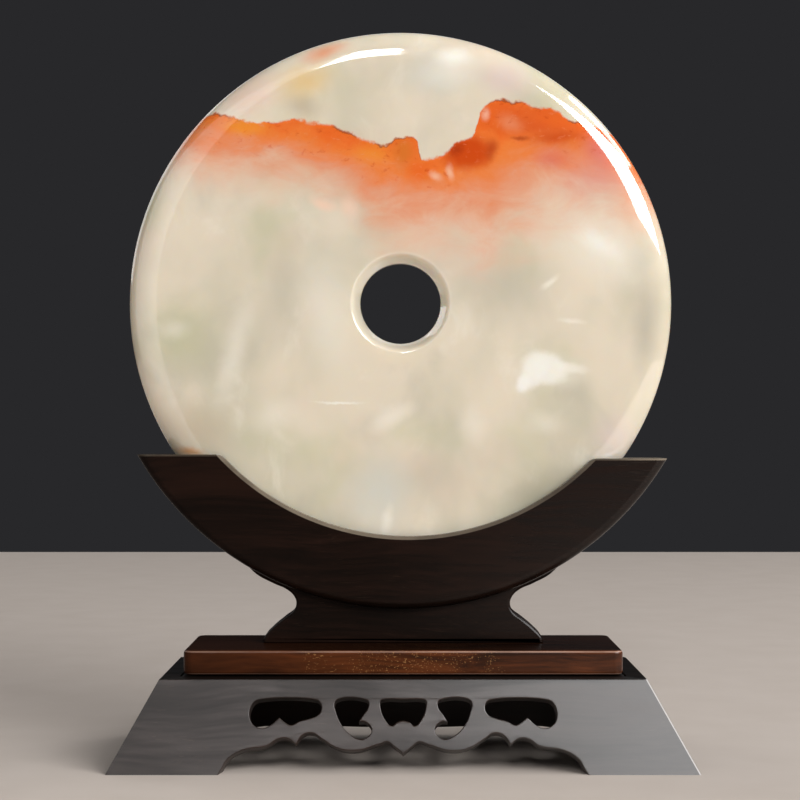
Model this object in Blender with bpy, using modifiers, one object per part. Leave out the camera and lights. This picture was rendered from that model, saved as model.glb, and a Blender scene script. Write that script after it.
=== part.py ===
"""Polished jade ring disc standing in a dark wood cradle on a plinth and a splayed fretwork base.

Metres, +Z up. The origin is on the ground, under the middle of the base. The fretwork side
faces -Y, and the disc stands upright in the cradle's groove, with its axis along Y.
"""

import math

import bmesh
import bpy
from mathutils import Matrix, Vector

# Disc
DISC_DIAMETER = 0.180
DISC_THICKNESS = 0.014
DISC_HOLE_DIAMETER = 0.0266
RIM_ROUND_INWARD = 0.008
RIM_ROUND_DEEP = 0.0055
HOLE_ROUND_OUTWARD = 0.0035
HOLE_ROUND_DEEP = 0.005
DISC_SHIFT = -0.0009

# Cradle: a crescent that grips the disc, and a thinner foot board under it
CRADLE_THICKNESS = 0.022
CRADLE_RIM = 0.0108
CRADLE_EDGE_ROUND = 0.003
CRADLE_SETBACK = 0.004
LEFT_HORN_BELOW_CENTRE = 0.0500
RIGHT_HORN_BELOW_CENTRE = 0.0513
HORN_CORNER_ROUND = 0.005
LIP_COVER = 0.0132
LIP_RADIUS = 0.084
LIP_SHIFT = 0.0017
FOOT_HEIGHT = 0.0111
FOOT_THICKNESS = 0.013
FOOT_WIDTH = 0.0926
NECK_WIDTH = 0.0706
NECK_HEIGHT = 0.0129
NECK_ROUND = 0.0035

# Plinth
PLINTH_WIDTH = 0.1408
PLINTH_DEPTH = 0.043
PLINTH_HEIGHT = 0.0081
PLINTH_CORNER_ROUND = 0.003
PLINTH_EDGE_ROUND = 0.0013

# Base: four mitred aprons round a top panel
BASE_BOTTOM_WIDTH = 0.1852
BASE_TOP_WIDTH = 0.1542
BASE_BOTTOM_DEPTH = 0.075
BASE_TOP_DEPTH = 0.055
BASE_HEIGHT = 0.0284
APRON_WALL = 0.006
TOP_PANEL_THICKNESS = 0.005
FRET_HALF_SPAN = 0.0482
FRONT_ARCH_HALF_SPAN = 0.0575
BACK_ARCH_HALF_SPAN = 0.060
BACK_ARCH_HEIGHT = 0.0052
SIDE_ARCH_HALF_SPAN = 0.021
SIDE_ARCH_HEIGHT = 0.0085

# Clearances
SEAT_CLEARANCE = 0.0003
JOINT_GAP = 0.0003

# Smoothness
DISC_STEPS = 88
GROOVE_STEPS = 160
ROUND_SEGMENTS = 5
PLINTH_EDGE_SEGMENTS = 3
LIP_STEPS = 16
CURVE_RESOLUTION = 4
CUT_OVERSHOOT = 0.004
WELD_DISTANCE = 0.00001

# Heights and radii that follow
DISC_RADIUS = DISC_DIAMETER / 2
CRADLE_RADIUS = DISC_RADIUS + CRADLE_RIM
PLINTH_BOTTOM = BASE_HEIGHT + JOINT_GAP
PLINTH_TOP = PLINTH_BOTTOM + PLINTH_HEIGHT
FOOT_BOTTOM = PLINTH_TOP + JOINT_GAP
DISC_CENTRE_HEIGHT = FOOT_BOTTOM + FOOT_HEIGHT + CRADLE_RADIUS
DISC_CENTRE = Vector((DISC_SHIFT, CRADLE_SETBACK, DISC_CENTRE_HEIGHT))
CRADLE_CENTRE = Vector((0, CRADLE_SETBACK, DISC_CENTRE_HEIGHT))
LIP_CENTRE_HEIGHT = DISC_CENTRE_HEIGHT - DISC_RADIUS + LIP_COVER + LIP_RADIUS

# Turned pieces and flat outlines are made lying down, and this stands them up facing -Y
STAND_UP = Matrix.Rotation(math.radians(90), 4, "X")

SMOOTH = "AUTO"
CORNER = "VECTOR"

# Right half of each pierced shape, as shares of the fret's half span and of the base's height.
# The middle one is closed by its mirror image.
MIDDLE_FRET = [
    (0.000, 0.566, CORNER),
    (0.040, 0.548, SMOOTH),
    (0.074, 0.510, SMOOTH),
    (0.106, 0.548, SMOOTH),
    (0.149, 0.725, SMOOTH),
    (0.146, 0.772, SMOOTH),
    (0.122, 0.786, SMOOTH),
    (0.000, 0.786, SMOOTH),
]
COMMA_FRET = [
    (0.250, 0.786, SMOOTH),
    (0.231, 0.768, SMOOTH),
    (0.229, 0.702, SMOOTH),
    (0.262, 0.622, SMOOTH),
    (0.289, 0.552, CORNER),
    (0.246, 0.548, SMOOTH),
    (0.206, 0.466, SMOOTH),
    (0.238, 0.387, SMOOTH),
    (0.282, 0.372, SMOOTH),
    (0.347, 0.425, SMOOTH),
    (0.402, 0.525, SMOOTH),
    (0.437, 0.655, SMOOTH),
    (0.446, 0.750, SMOOTH),
    (0.426, 0.786, SMOOTH),
]
LONG_FRET = [
    (0.585, 0.786, SMOOTH),
    (0.550, 0.765, SMOOTH),
    (0.534, 0.700, SMOOTH),
    (0.553, 0.627, SMOOTH),
    (0.608, 0.587, SMOOTH),
    (0.676, 0.557, SMOOTH),
    (0.730, 0.518, SMOOTH),
    (0.760, 0.538, SMOOTH),
    (0.807, 0.598, CORNER),
    (0.880, 0.502, SMOOTH),
    (0.928, 0.487, SMOOTH),
    (0.974, 0.522, SMOOTH),
    (0.999, 0.600, SMOOTH),
    (0.996, 0.690, SMOOTH),
    (0.970, 0.760, SMOOTH),
    (0.925, 0.786, SMOOTH),
]

# Right half of the front's lower edge, from the middle out, as shares of the arch's half
# span and of the base's height
FRONT_EDGE = [
    (0.000, 0.220, CORNER),
    (0.050, 0.295, SMOOTH),
    (0.085, 0.341, SMOOTH),
    (0.135, 0.315, SMOOTH),
    (0.265, 0.248, SMOOTH),
    (0.365, 0.284, SMOOTH),
    (0.440, 0.370, SMOOTH),
    (0.497, 0.434, SMOOTH),
    (0.550, 0.405, SMOOTH),
    (0.583, 0.313, CORNER),
    (0.630, 0.377, SMOOTH),
    (0.680, 0.372, SMOOTH),
    (0.740, 0.300, SMOOTH),
    (0.870, 0.255, SMOOTH),
    (0.950, 0.165, SMOOTH),
    (0.978, 0.075, SMOOTH),
    (1.000, 0.000, CORNER),
]

# Right half of the side's plainer lower edge, as shares of that arch's own span and height
SIDE_EDGE = [
    (0.000, 0.780, CORNER),
    (0.160, 0.960, SMOOTH),
    (0.340, 1.000, SMOOTH),
    (0.560, 0.720, SMOOTH),
    (0.830, 0.520, SMOOTH),
    (1.000, 0.000, CORNER),
]

# Right half of the back's plain lower edge, as shares of that arch's own span and height
BACK_EDGE = [
    (0.000, 1.000, SMOOTH),
    (0.880, 0.980, SMOOTH),
    (0.965, 0.600, SMOOTH),
    (1.000, 0.000, CORNER),
]

# Colour, roughness and metallic value of each finish
FINISHES = {
    "jade": ((0.76, 0.72, 0.60, 1.0), 0.12, 0.0),
    "dark_wood": ((0.020, 0.013, 0.010, 1.0), 0.35, 0.0),
    "red_brown_wood": ((0.085, 0.034, 0.017, 1.0), 0.28, 0.0),
}


def clear_scene():
    """Remove every object that the scene opened with."""
    for item in list(bpy.data.objects):
        bpy.data.objects.remove(item, do_unlink=True)


def make_collection(name):
    """Add a collection to the scene."""
    collection = bpy.data.collections.new(name)
    bpy.context.scene.collection.children.link(collection)
    return collection


def make_material(piece_name, finish):
    """Make the material of one piece from a named finish."""
    colour, roughness, metallic = FINISHES[finish]
    material = bpy.data.materials.new(f"{piece_name}_{finish}")
    material.use_nodes = True
    shader = material.node_tree.nodes["Principled BSDF"]
    shader.inputs["Base Color"].default_value = colour
    shader.inputs["Roughness"].default_value = roughness
    shader.inputs["Metallic"].default_value = metallic
    material.diffuse_color = colour
    return material


def add_object(name, mesh, collection, place=None):
    """Link a mesh to a collection as an object, at a placing matrix."""
    item = bpy.data.objects.new(name, mesh)
    collection.objects.link(item)
    if place is not None:
        item.matrix_world = place
    return item


def make_piece(name, mesh, finish, collection, place=None):
    """Add a piece of the model with a material of its own."""
    mesh.materials.append(make_material(name, finish))
    return add_object(name, mesh, collection, place)


def make_cutter(name, mesh, collection, place=None):
    """Add a shape that only cuts or joins, shown as wire."""
    cutter = add_object(name, mesh, collection, place)
    cutter.hide_render = True
    cutter.display_type = "WIRE"
    return cutter


def combine(piece, other, operation):
    """Cut the piece by another shape, or join that shape to it."""
    modifier = piece.modifiers.new(f"{operation.lower()}_{other.name}", "BOOLEAN")
    modifier.object = other
    modifier.operation = operation
    modifier.solver = "EXACT"


def shade_round(mesh, angle=35):
    """Shade a mesh smooth, except at edges sharper than the angle in degrees."""
    mesh.shade_smooth()
    mesh.set_sharp_from_angle(angle=math.radians(angle))


def quarter_round(centre, radii, start):
    """Points of a quarter ellipse, clockwise from the start angle in degrees."""
    points = []
    for step in range(ROUND_SEGMENTS + 1):
        angle = math.radians(start - 90 * step / ROUND_SEGMENTS)
        points.append((centre[0] + radii[0] * math.cos(angle), centre[1] + radii[1] * math.sin(angle)))
    return points


def turned_object(name, profile, closed, steps, collection):
    """Turn a profile of (radius, height) points about Z with a Screw modifier."""
    mesh = bpy.data.meshes.new(name)
    vertices = [(radius, 0, height) for radius, height in profile]
    edges = [(index, index + 1) for index in range(len(profile) - 1)]
    if closed:
        edges.append((len(profile) - 1, 0))
    mesh.from_pydata(vertices, edges, [])
    item = add_object(name, mesh, collection)
    screw = item.modifiers.new("turn", "SCREW")
    screw.axis = "Z"
    screw.angle = math.radians(360)
    screw.steps = steps
    screw.render_steps = steps
    screw.use_merge_vertices = True
    screw.merge_threshold = WELD_DISTANCE
    screw.use_smooth_shade = True
    return item


def welded_mesh(item, name):
    """Make a mesh of what an object evaluates to, weld it and remove the object."""
    depsgraph = bpy.context.evaluated_depsgraph_get()
    mesh = bpy.data.meshes.new_from_object(item.evaluated_get(depsgraph))
    mesh.name = name
    shape = bmesh.new()
    shape.from_mesh(mesh)
    bmesh.ops.remove_doubles(shape, verts=shape.verts, dist=WELD_DISTANCE)
    bmesh.ops.recalc_face_normals(shape, faces=shape.faces)
    shape.to_mesh(mesh)
    shape.free()
    bpy.data.objects.remove(item, do_unlink=True)
    return mesh


def outline_mesh(name, outline, thickness, collection):
    """Fill a closed outline of (x, y, handle) points and give it a thickness about its plane."""
    curve = bpy.data.curves.new(name, "CURVE")
    curve.dimensions = "2D"
    curve.fill_mode = "BOTH"
    curve.extrude = thickness / 2
    curve.resolution_u = CURVE_RESOLUTION
    curve.render_resolution_u = CURVE_RESOLUTION
    spline = curve.splines.new("BEZIER")
    spline.bezier_points.add(len(outline) - 1)
    for point, (across, up, handle) in zip(spline.bezier_points, outline):
        point.co = (across, up, 0)
        point.handle_left_type = handle
        point.handle_right_type = handle
    spline.use_cyclic_u = True
    item = add_object(f"{name}_outline", curve, collection)
    return welded_mesh(item, name)


def scaled(outline, across, up):
    """Scale an outline of shares to its real size."""
    return [(x * across, z * up, handle) for x, z, handle in outline]


def mirrored(outline):
    """Mirror image of an outline, run the other way round."""
    return [(-x, z, handle) for x, z, handle in reversed(outline)]


def both_halves(right_half):
    """Close a right half whose ends lie on the middle line with its mirror image."""
    left_half = [point for point in mirrored(right_half) if point[0] < 0]
    return right_half + left_half


def circle_height(centre_height, radius, across):
    """Height of the lower side of an upright circle at a distance from its middle line."""
    return centre_height - math.sqrt(radius**2 - across**2)


def disc_profile():
    """Closed profile of the disc: rounded rim, flat sides and rounded hole."""
    half = DISC_THICKNESS / 2
    rim_centre = DISC_RADIUS - RIM_ROUND_INWARD
    hole_centre = DISC_HOLE_DIAMETER / 2 + HOLE_ROUND_OUTWARD
    rim = (RIM_ROUND_INWARD, RIM_ROUND_DEEP)
    hole = (HOLE_ROUND_OUTWARD, HOLE_ROUND_DEEP)
    points = quarter_round((rim_centre, half - RIM_ROUND_DEEP), rim, 90)
    points += quarter_round((rim_centre, RIM_ROUND_DEEP - half), rim, 0)
    points += quarter_round((hole_centre, HOLE_ROUND_DEEP - half), hole, -90)
    points += quarter_round((hole_centre, half - HOLE_ROUND_DEEP), hole, -180)
    return points


def make_disc(parts):
    """The jade disc, upright on its rim in the cradle's groove."""
    disc = turned_object("jade_disc", disc_profile(), True, DISC_STEPS, parts)
    disc.data.materials.append(make_material("jade_disc", "jade"))
    disc.matrix_world = Matrix.Translation(DISC_CENTRE) @ STAND_UP


def crescent_blank(cutters):
    """Turned round blank, with rounded edges, that the crescent is cut from."""
    half = CRADLE_THICKNESS / 2
    edge = (CRADLE_EDGE_ROUND, CRADLE_EDGE_ROUND)
    edge_centre = CRADLE_RADIUS - CRADLE_EDGE_ROUND
    profile = [(0, half)]
    profile += quarter_round((edge_centre, half - CRADLE_EDGE_ROUND), edge, 90)
    profile += quarter_round((edge_centre, CRADLE_EDGE_ROUND - half), edge, 0)
    profile += [(0, -half)]
    blank = turned_object("crescent_blank", profile, False, DISC_STEPS, cutters)
    return welded_mesh(blank, "cradle")


def horn_outline(side, drop):
    """Opening over one horn: out above the horn's flat top and over its blunt inner corner.

    side is 1 for the right horn and -1 for the left, and drop is how far its top is below the
    disc's centre. The last point is where the lip's arc starts.
    """
    reach = CRADLE_RADIUS + CUT_OVERSHOOT
    top = DISC_CENTRE_HEIGHT - drop
    lip_across = math.sqrt(LIP_RADIUS**2 - (LIP_CENTRE_HEIGHT - top) ** 2)
    arc_start = lip_across - HORN_CORNER_ROUND / 2
    edge = side * LIP_SHIFT + lip_across
    points = [
        (reach, DISC_CENTRE_HEIGHT + reach, CORNER),
        (reach, top, CORNER),
        (edge + HORN_CORNER_ROUND, top, CORNER),
        (edge + HORN_CORNER_ROUND * 0.2, top - HORN_CORNER_ROUND * 0.16, SMOOTH),
        (side * LIP_SHIFT + arc_start, circle_height(LIP_CENTRE_HEIGHT, LIP_RADIUS, arc_start), SMOOTH),
    ]
    return points if side > 0 else mirrored(points)


def opening_outline():
    """Outline of what is cut away over the crescent: horn tops, blunt corners and the lip's arc."""
    right = horn_outline(1, RIGHT_HORN_BELOW_CENTRE)
    left = horn_outline(-1, LEFT_HORN_BELOW_CENTRE)
    start = right[-1][0] - LIP_SHIFT
    end = left[0][0] - LIP_SHIFT
    middle = (start + end) / 2
    arc = []
    for step in range(1, LIP_STEPS):
        across = middle + (start - middle) * math.cos(math.pi * step / LIP_STEPS)
        height = circle_height(LIP_CENTRE_HEIGHT, LIP_RADIUS, across)
        arc.append((LIP_SHIFT + across, height, SMOOTH))
    return right + arc + left


def foot_outline():
    """Outline of the foot board: flat bottom, flared ends, rounded neck, top inside the crescent."""
    foot = FOOT_WIDTH / 2
    neck = NECK_WIDTH / 2
    join = neck + 1.5 * NECK_ROUND
    join_height = circle_height(DISC_CENTRE_HEIGHT, CRADLE_RADIUS, join) + CRADLE_EDGE_ROUND / 2
    neck_height = FOOT_BOTTOM + NECK_HEIGHT
    flare = foot - neck
    right = [
        (foot, FOOT_BOTTOM, CORNER),
        (foot - 0.12 * flare, FOOT_BOTTOM + 0.20 * NECK_HEIGHT, SMOOTH),
        (foot - 0.52 * flare, FOOT_BOTTOM + 0.54 * NECK_HEIGHT, SMOOTH),
        (neck + 0.12 * flare, FOOT_BOTTOM + 0.79 * NECK_HEIGHT, SMOOTH),
        (neck, neck_height, SMOOTH),
        (neck + 0.10 * flare, neck_height + 0.75 * NECK_ROUND, SMOOTH),
        (join, join_height, CORNER),
        (join, join_height + CRADLE_RIM / 2, CORNER),
    ]
    return right + mirrored(right)


def make_cradle(parts, cutters):
    """Crescent and foot board, cut in one from a thick board, with the groove for the disc."""
    upright = Matrix.Translation(CRADLE_CENTRE) @ STAND_UP
    outline_place = Matrix.Translation((0, CRADLE_SETBACK, 0)) @ STAND_UP
    cradle = make_piece("cradle", crescent_blank(cutters), "dark_wood", parts, upright)
    foot = outline_mesh("foot_board", foot_outline(), FOOT_THICKNESS, cutters)
    combine(cradle, make_cutter("foot_board", foot, cutters, outline_place), "UNION")
    opening = outline_mesh("opening_cut", opening_outline(), CRADLE_THICKNESS + CUT_OVERSHOOT, cutters)
    combine(cradle, make_cutter("opening_cut", opening, cutters, outline_place), "DIFFERENCE")
    groove = bpy.data.meshes.new("groove_cut")
    shape = bmesh.new()
    bmesh.ops.create_cone(
        shape,
        cap_ends=True,
        segments=GROOVE_STEPS,
        radius1=DISC_RADIUS + SEAT_CLEARANCE,
        radius2=DISC_RADIUS + SEAT_CLEARANCE,
        depth=DISC_THICKNESS + 2 * SEAT_CLEARANCE,
    )
    shape.to_mesh(groove)
    shape.free()
    groove_place = Matrix.Translation(DISC_CENTRE) @ STAND_UP
    combine(cradle, make_cutter("groove_cut", groove, cutters, groove_place), "DIFFERENCE")


def is_level(edge):
    """Tell whether an edge runs level."""
    return abs(edge.verts[0].co.z - edge.verts[1].co.z) < WELD_DISTANCE


def is_upright(edge):
    """Tell whether an edge of the plinth's block runs up it."""
    return not is_level(edge)


def bevel_edges(shape, chosen, width, segments):
    """Round the edges of a shape that a test chooses."""
    edges = [edge for edge in shape.edges if chosen(edge)]
    bmesh.ops.bevel(
        shape,
        geom=edges,
        offset=width,
        offset_type="OFFSET",
        segments=segments,
        profile=0.5,
        affect="EDGES",
        clamp_overlap=True,
    )


def make_plinth(parts):
    """Low block with rounded corners and edges, between the base and the foot."""
    shape = bmesh.new()
    bmesh.ops.create_cube(shape, size=1)
    bmesh.ops.scale(shape, vec=(PLINTH_WIDTH, PLINTH_DEPTH, PLINTH_HEIGHT), verts=shape.verts)
    bevel_edges(shape, is_upright, PLINTH_CORNER_ROUND, ROUND_SEGMENTS)
    bevel_edges(shape, is_level, PLINTH_EDGE_ROUND, PLINTH_EDGE_SEGMENTS)
    mesh = bpy.data.meshes.new("plinth")
    shape.to_mesh(mesh)
    shape.free()
    shade_round(mesh)
    middle = Matrix.Translation((0, 0, PLINTH_BOTTOM + PLINTH_HEIGHT / 2))
    make_piece("plinth", mesh, "red_brown_wood", parts, middle)


def base_half_width(height):
    """Half the width of the base at a height."""
    share = height / BASE_HEIGHT
    return (BASE_BOTTOM_WIDTH * (1 - share) + BASE_TOP_WIDTH * share) / 2


def base_half_depth(height):
    """Half the depth of the base at a height."""
    share = height / BASE_HEIGHT
    return (BASE_BOTTOM_DEPTH * (1 - share) + BASE_TOP_DEPTH * share) / 2


def shaped_box(name, place_corner):
    """Box whose corners are moved by a function of their three signs."""
    shape = bmesh.new()
    bmesh.ops.create_cube(shape, size=2)
    for corner in shape.verts:
        corner.co = place_corner(round(corner.co.x), round(corner.co.y), round(corner.co.z))
    mesh = bpy.data.meshes.new(name)
    shape.to_mesh(mesh)
    shape.free()
    return mesh


def apron_mesh(name, half_length, half_across):
    """Mitred sloping board along X whose outer face is towards -Y.

    half_length and half_across give the base's half sizes along the board and across it, at a height.
    """
    mitre_gap = JOINT_GAP / 2 * math.sqrt(2)

    def place_corner(along, across, up):
        height = BASE_HEIGHT if up > 0 else 0.0
        inset = APRON_WALL if across > 0 else 0.0
        return Vector((
            along * (half_length(height) - inset - mitre_gap),
            inset - half_across(height),
            height,
        ))

    return shaped_box(name, place_corner)


def make_base_top(parts):
    """Panel let in flush between the tops of the aprons."""

    def place_corner(along, across, up):
        height = BASE_HEIGHT if up > 0 else BASE_HEIGHT - TOP_PANEL_THICKNESS
        inset = APRON_WALL + JOINT_GAP
        return Vector((
            along * (base_half_width(height) - inset),
            across * (base_half_depth(height) - inset),
            height,
        ))

    make_piece("base_top", shaped_box("base_top", place_corner), "dark_wood", parts)


def arch_outline(edge, half_span, height):
    """Closed outline of what is cut from a board's lower edge, reaching below the ground."""
    right = scaled(edge, half_span, height)
    ground = [(half_span, -CUT_OVERSHOOT, CORNER)]
    return both_halves(right + ground)


def cut_board(board, name, outline, middle, reach, turn, cutters):
    """Cut an outline through a board, along the board's own facing direction."""
    mesh = outline_mesh(name, outline, reach, cutters)
    place = turn @ Matrix.Translation((0, middle, 0)) @ STAND_UP
    combine(board, make_cutter(name, mesh, cutters, place), "DIFFERENCE")


def make_apron(name, half_length, half_across, facing, parts):
    """Add one apron board, made facing -Y and then turned to its own side."""
    mesh = apron_mesh(name, half_length, half_across)
    return make_piece(name, mesh, "dark_wood", parts, facing)


def make_aprons(parts, cutters):
    """Front board with fretwork, plainer back board, and the two end boards."""
    long_middle = -(BASE_BOTTOM_DEPTH + BASE_TOP_DEPTH) / 4 + APRON_WALL / 2
    long_reach = (BASE_BOTTOM_DEPTH - BASE_TOP_DEPTH) / 2 + APRON_WALL + CUT_OVERSHOOT
    end_middle = -(BASE_BOTTOM_WIDTH + BASE_TOP_WIDTH) / 4 + APRON_WALL / 2
    end_reach = (BASE_BOTTOM_WIDTH - BASE_TOP_WIDTH) / 2 + APRON_WALL + CUT_OVERSHOOT
    facing_front = Matrix.Identity(4)
    facing_back = Matrix.Rotation(math.radians(180), 4, "Z")
    facing_left = Matrix.Rotation(math.radians(-90), 4, "Z")
    facing_right = Matrix.Rotation(math.radians(90), 4, "Z")

    front = make_apron("apron_front", base_half_width, base_half_depth, facing_front, parts)
    front_arch = arch_outline(FRONT_EDGE, FRONT_ARCH_HALF_SPAN, BASE_HEIGHT)
    cut_board(front, "front_arch_cut", front_arch, long_middle, long_reach, facing_front, cutters)
    middle_fret = both_halves(scaled(MIDDLE_FRET, FRET_HALF_SPAN, BASE_HEIGHT))
    cut_board(front, "middle_fret_cut", middle_fret, long_middle, long_reach, facing_front, cutters)
    for shape_name, shares in (("comma", COMMA_FRET), ("long", LONG_FRET)):
        right = scaled(shares, FRET_HALF_SPAN, BASE_HEIGHT)
        for side, outline in (("right", right), ("left", mirrored(right))):
            cut_name = f"{shape_name}_fret_{side}_cut"
            cut_board(front, cut_name, outline, long_middle, long_reach, facing_front, cutters)

    back = make_apron("apron_back", base_half_width, base_half_depth, facing_back, parts)
    back_arch = arch_outline(BACK_EDGE, BACK_ARCH_HALF_SPAN, BACK_ARCH_HEIGHT)
    cut_board(back, "back_arch_cut", back_arch, long_middle, long_reach, facing_back, cutters)

    side_arch = arch_outline(SIDE_EDGE, SIDE_ARCH_HALF_SPAN, SIDE_ARCH_HEIGHT)
    for side, facing in (("left", facing_left), ("right", facing_right)):
        board = make_apron(f"apron_{side}", base_half_depth, base_half_width, facing, parts)
        cut_board(board, f"{side}_arch_cut", side_arch, end_middle, end_reach, facing, cutters)


def main():
    """Build the disc and its stand."""
    clear_scene()
    parts = make_collection("jade_disc_on_stand")
    cutters = make_collection("cutters")
    make_disc(parts)
    make_cradle(parts, cutters)
    make_plinth(parts)
    make_base_top(parts)
    make_aprons(parts, cutters)


main()
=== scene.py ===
"""Finished look of a polished jade ring disc on its dark wood stand.

Metres, +Z up. The origin is on the ground, under the middle of the base, and the fretwork
faces -Y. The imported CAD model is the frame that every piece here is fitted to.
"""

import logging
import math
from collections.abc import Callable, Iterator
from contextlib import contextmanager
from dataclasses import dataclass, field
from enum import Enum
from typing import Protocol

import bmesh
import bpy
from mathutils import Matrix, Vector


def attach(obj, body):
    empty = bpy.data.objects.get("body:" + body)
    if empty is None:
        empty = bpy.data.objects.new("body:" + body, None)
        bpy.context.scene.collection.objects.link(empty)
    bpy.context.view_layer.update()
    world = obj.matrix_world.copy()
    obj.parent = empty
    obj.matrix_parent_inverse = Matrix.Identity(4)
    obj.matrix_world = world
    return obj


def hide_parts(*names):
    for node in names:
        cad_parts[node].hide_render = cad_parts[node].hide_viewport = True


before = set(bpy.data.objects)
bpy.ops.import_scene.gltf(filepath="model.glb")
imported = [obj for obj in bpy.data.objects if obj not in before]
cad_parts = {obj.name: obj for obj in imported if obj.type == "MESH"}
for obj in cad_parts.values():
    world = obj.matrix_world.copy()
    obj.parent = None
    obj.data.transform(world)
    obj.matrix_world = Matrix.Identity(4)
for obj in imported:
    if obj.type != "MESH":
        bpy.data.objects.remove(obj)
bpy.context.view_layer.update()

LOG = logging.getLogger("jade_disc_on_stand")

Colour = tuple[float, float, float, float]
Point = tuple[float, float]
Test = Callable[[object], bool]

# Shared measures of the disc and its cradle
DISC_CENTRE = Vector((-0.0009, 0.004, 0.1490))
DISC_RADIUS = 0.090
WELD_DISTANCE = 0.00001
CUT_OVERSHOOT = 0.004


class Corner(Enum):
    """How an outline passes through one of its points."""

    SMOOTH = "AUTO"
    SHARP = "VECTOR"


class Cut(Enum):
    """What a second shape does to the piece."""

    JOIN = "UNION"
    REMOVE = "DIFFERENCE"


class Choice(Enum):
    """What is selected on a piece in edit mode."""

    FACES = "FACE"
    EDGES = "EDGE"


SMOOTH = Corner.SMOOTH
SHARP = Corner.SHARP
Outline = list[tuple[float, float, Corner]]

# Right half of each pierced shape, as shares of the fret's half span and of the base's height.
# The middle one is closed by its mirror image.
MIDDLE_FRET: Outline = [
    (0.000, 0.566, SHARP), (0.040, 0.548, SMOOTH), (0.074, 0.510, SMOOTH), (0.106, 0.548, SMOOTH),
    (0.149, 0.725, SMOOTH), (0.146, 0.772, SMOOTH), (0.122, 0.786, SMOOTH), (0.000, 0.786, SMOOTH),
]
COMMA_FRET: Outline = [
    (0.250, 0.786, SMOOTH), (0.231, 0.768, SMOOTH), (0.229, 0.702, SMOOTH), (0.262, 0.622, SMOOTH),
    (0.289, 0.552, SHARP), (0.246, 0.548, SMOOTH), (0.206, 0.466, SMOOTH), (0.238, 0.387, SMOOTH),
    (0.282, 0.372, SMOOTH), (0.347, 0.425, SMOOTH), (0.402, 0.525, SMOOTH), (0.437, 0.655, SMOOTH),
    (0.446, 0.750, SMOOTH), (0.426, 0.786, SMOOTH),
]
LONG_FRET: Outline = [
    (0.585, 0.786, SMOOTH), (0.550, 0.765, SMOOTH), (0.534, 0.700, SMOOTH), (0.553, 0.627, SMOOTH),
    (0.608, 0.587, SMOOTH), (0.676, 0.557, SMOOTH), (0.730, 0.518, SMOOTH), (0.760, 0.538, SMOOTH),
    (0.807, 0.598, SHARP), (0.880, 0.502, SMOOTH), (0.928, 0.487, SMOOTH), (0.974, 0.522, SMOOTH),
    (0.999, 0.600, SMOOTH), (0.996, 0.690, SMOOTH), (0.970, 0.760, SMOOTH), (0.925, 0.786, SMOOTH),
]

# Right half of the front's lower edge, from the middle out, as shares of the arch's half
# span and of the base's height
FRONT_EDGE: Outline = [
    (0.000, 0.220, SHARP), (0.050, 0.295, SMOOTH), (0.085, 0.341, SMOOTH), (0.135, 0.315, SMOOTH),
    (0.265, 0.248, SMOOTH), (0.365, 0.284, SMOOTH), (0.440, 0.370, SMOOTH), (0.497, 0.434, SMOOTH),
    (0.550, 0.405, SMOOTH), (0.583, 0.313, SHARP), (0.630, 0.377, SMOOTH), (0.680, 0.372, SMOOTH),
    (0.740, 0.300, SMOOTH), (0.870, 0.255, SMOOTH), (0.950, 0.165, SMOOTH), (0.978, 0.075, SMOOTH),
    (1.000, 0.000, SHARP),
]

# Right half of the ends' plainer lower edge, as shares of that arch's own span and height
SIDE_EDGE: Outline = [
    (0.000, 0.780, SHARP), (0.160, 0.960, SMOOTH), (0.340, 1.000, SMOOTH), (0.560, 0.720, SMOOTH),
    (0.830, 0.520, SMOOTH), (1.000, 0.000, SHARP),
]

# Right half of the back's plain lower edge, as shares of that arch's own span and height
BACK_EDGE: Outline = [
    (0.000, 1.000, SMOOTH), (0.880, 0.980, SMOOTH), (0.965, 0.600, SMOOTH), (1.000, 0.000, SHARP),
]


def scaled(outline: Outline, across: float, up: float) -> Outline:
    """Scale an outline of shares to its real size.

    Args:
        outline: Points as shares of a span and a height.
        across: The span in metres.
        up: The height in metres.

    Returns:
        The same points in metres.
    """
    return [(x * across, z * up, corner) for x, z, corner in outline]


def mirrored(outline: Outline) -> Outline:
    """Mirror an outline left to right, and run it the other way round.

    Args:
        outline: Points of one side.

    Returns:
        The points of the other side.
    """
    return [(-x, z, corner) for x, z, corner in reversed(outline)]


def both_halves(right_half: Outline) -> Outline:
    """Close a right half, whose ends lie on the middle line, with its mirror image.

    Args:
        right_half: Points from the middle line out and back to it.

    Returns:
        The whole closed outline.
    """
    left_half = [point for point in mirrored(right_half) if point[0] < 0]
    return right_half + left_half


def circle_height(centre_height: float, radius: float, across: float) -> float:
    """Height of the lower side of an upright circle.

    Args:
        centre_height: Height of the circle's centre.
        radius: Its radius.
        across: Distance from its middle line.

    Returns:
        The height at that distance.
    """
    return centre_height - math.sqrt(radius**2 - across**2)


def paint(red: int, green: int, blue: int) -> Colour:
    """Turn a colour as mixed on a screen into the shader's linear one.

    Args:
        red: Share of red, 0 to 255.
        green: Share of green, 0 to 255.
        blue: Share of blue, 0 to 255.

    Returns:
        Linear red, green, blue and an alpha of one.
    """
    linear = []
    for share in (red / 255, green / 255, blue / 255):
        linear.append(share / 12.92 if share <= 0.04045 else ((share + 0.055) / 1.055) ** 2.4)
    return (linear[0], linear[1], linear[2], 1.0)


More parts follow.
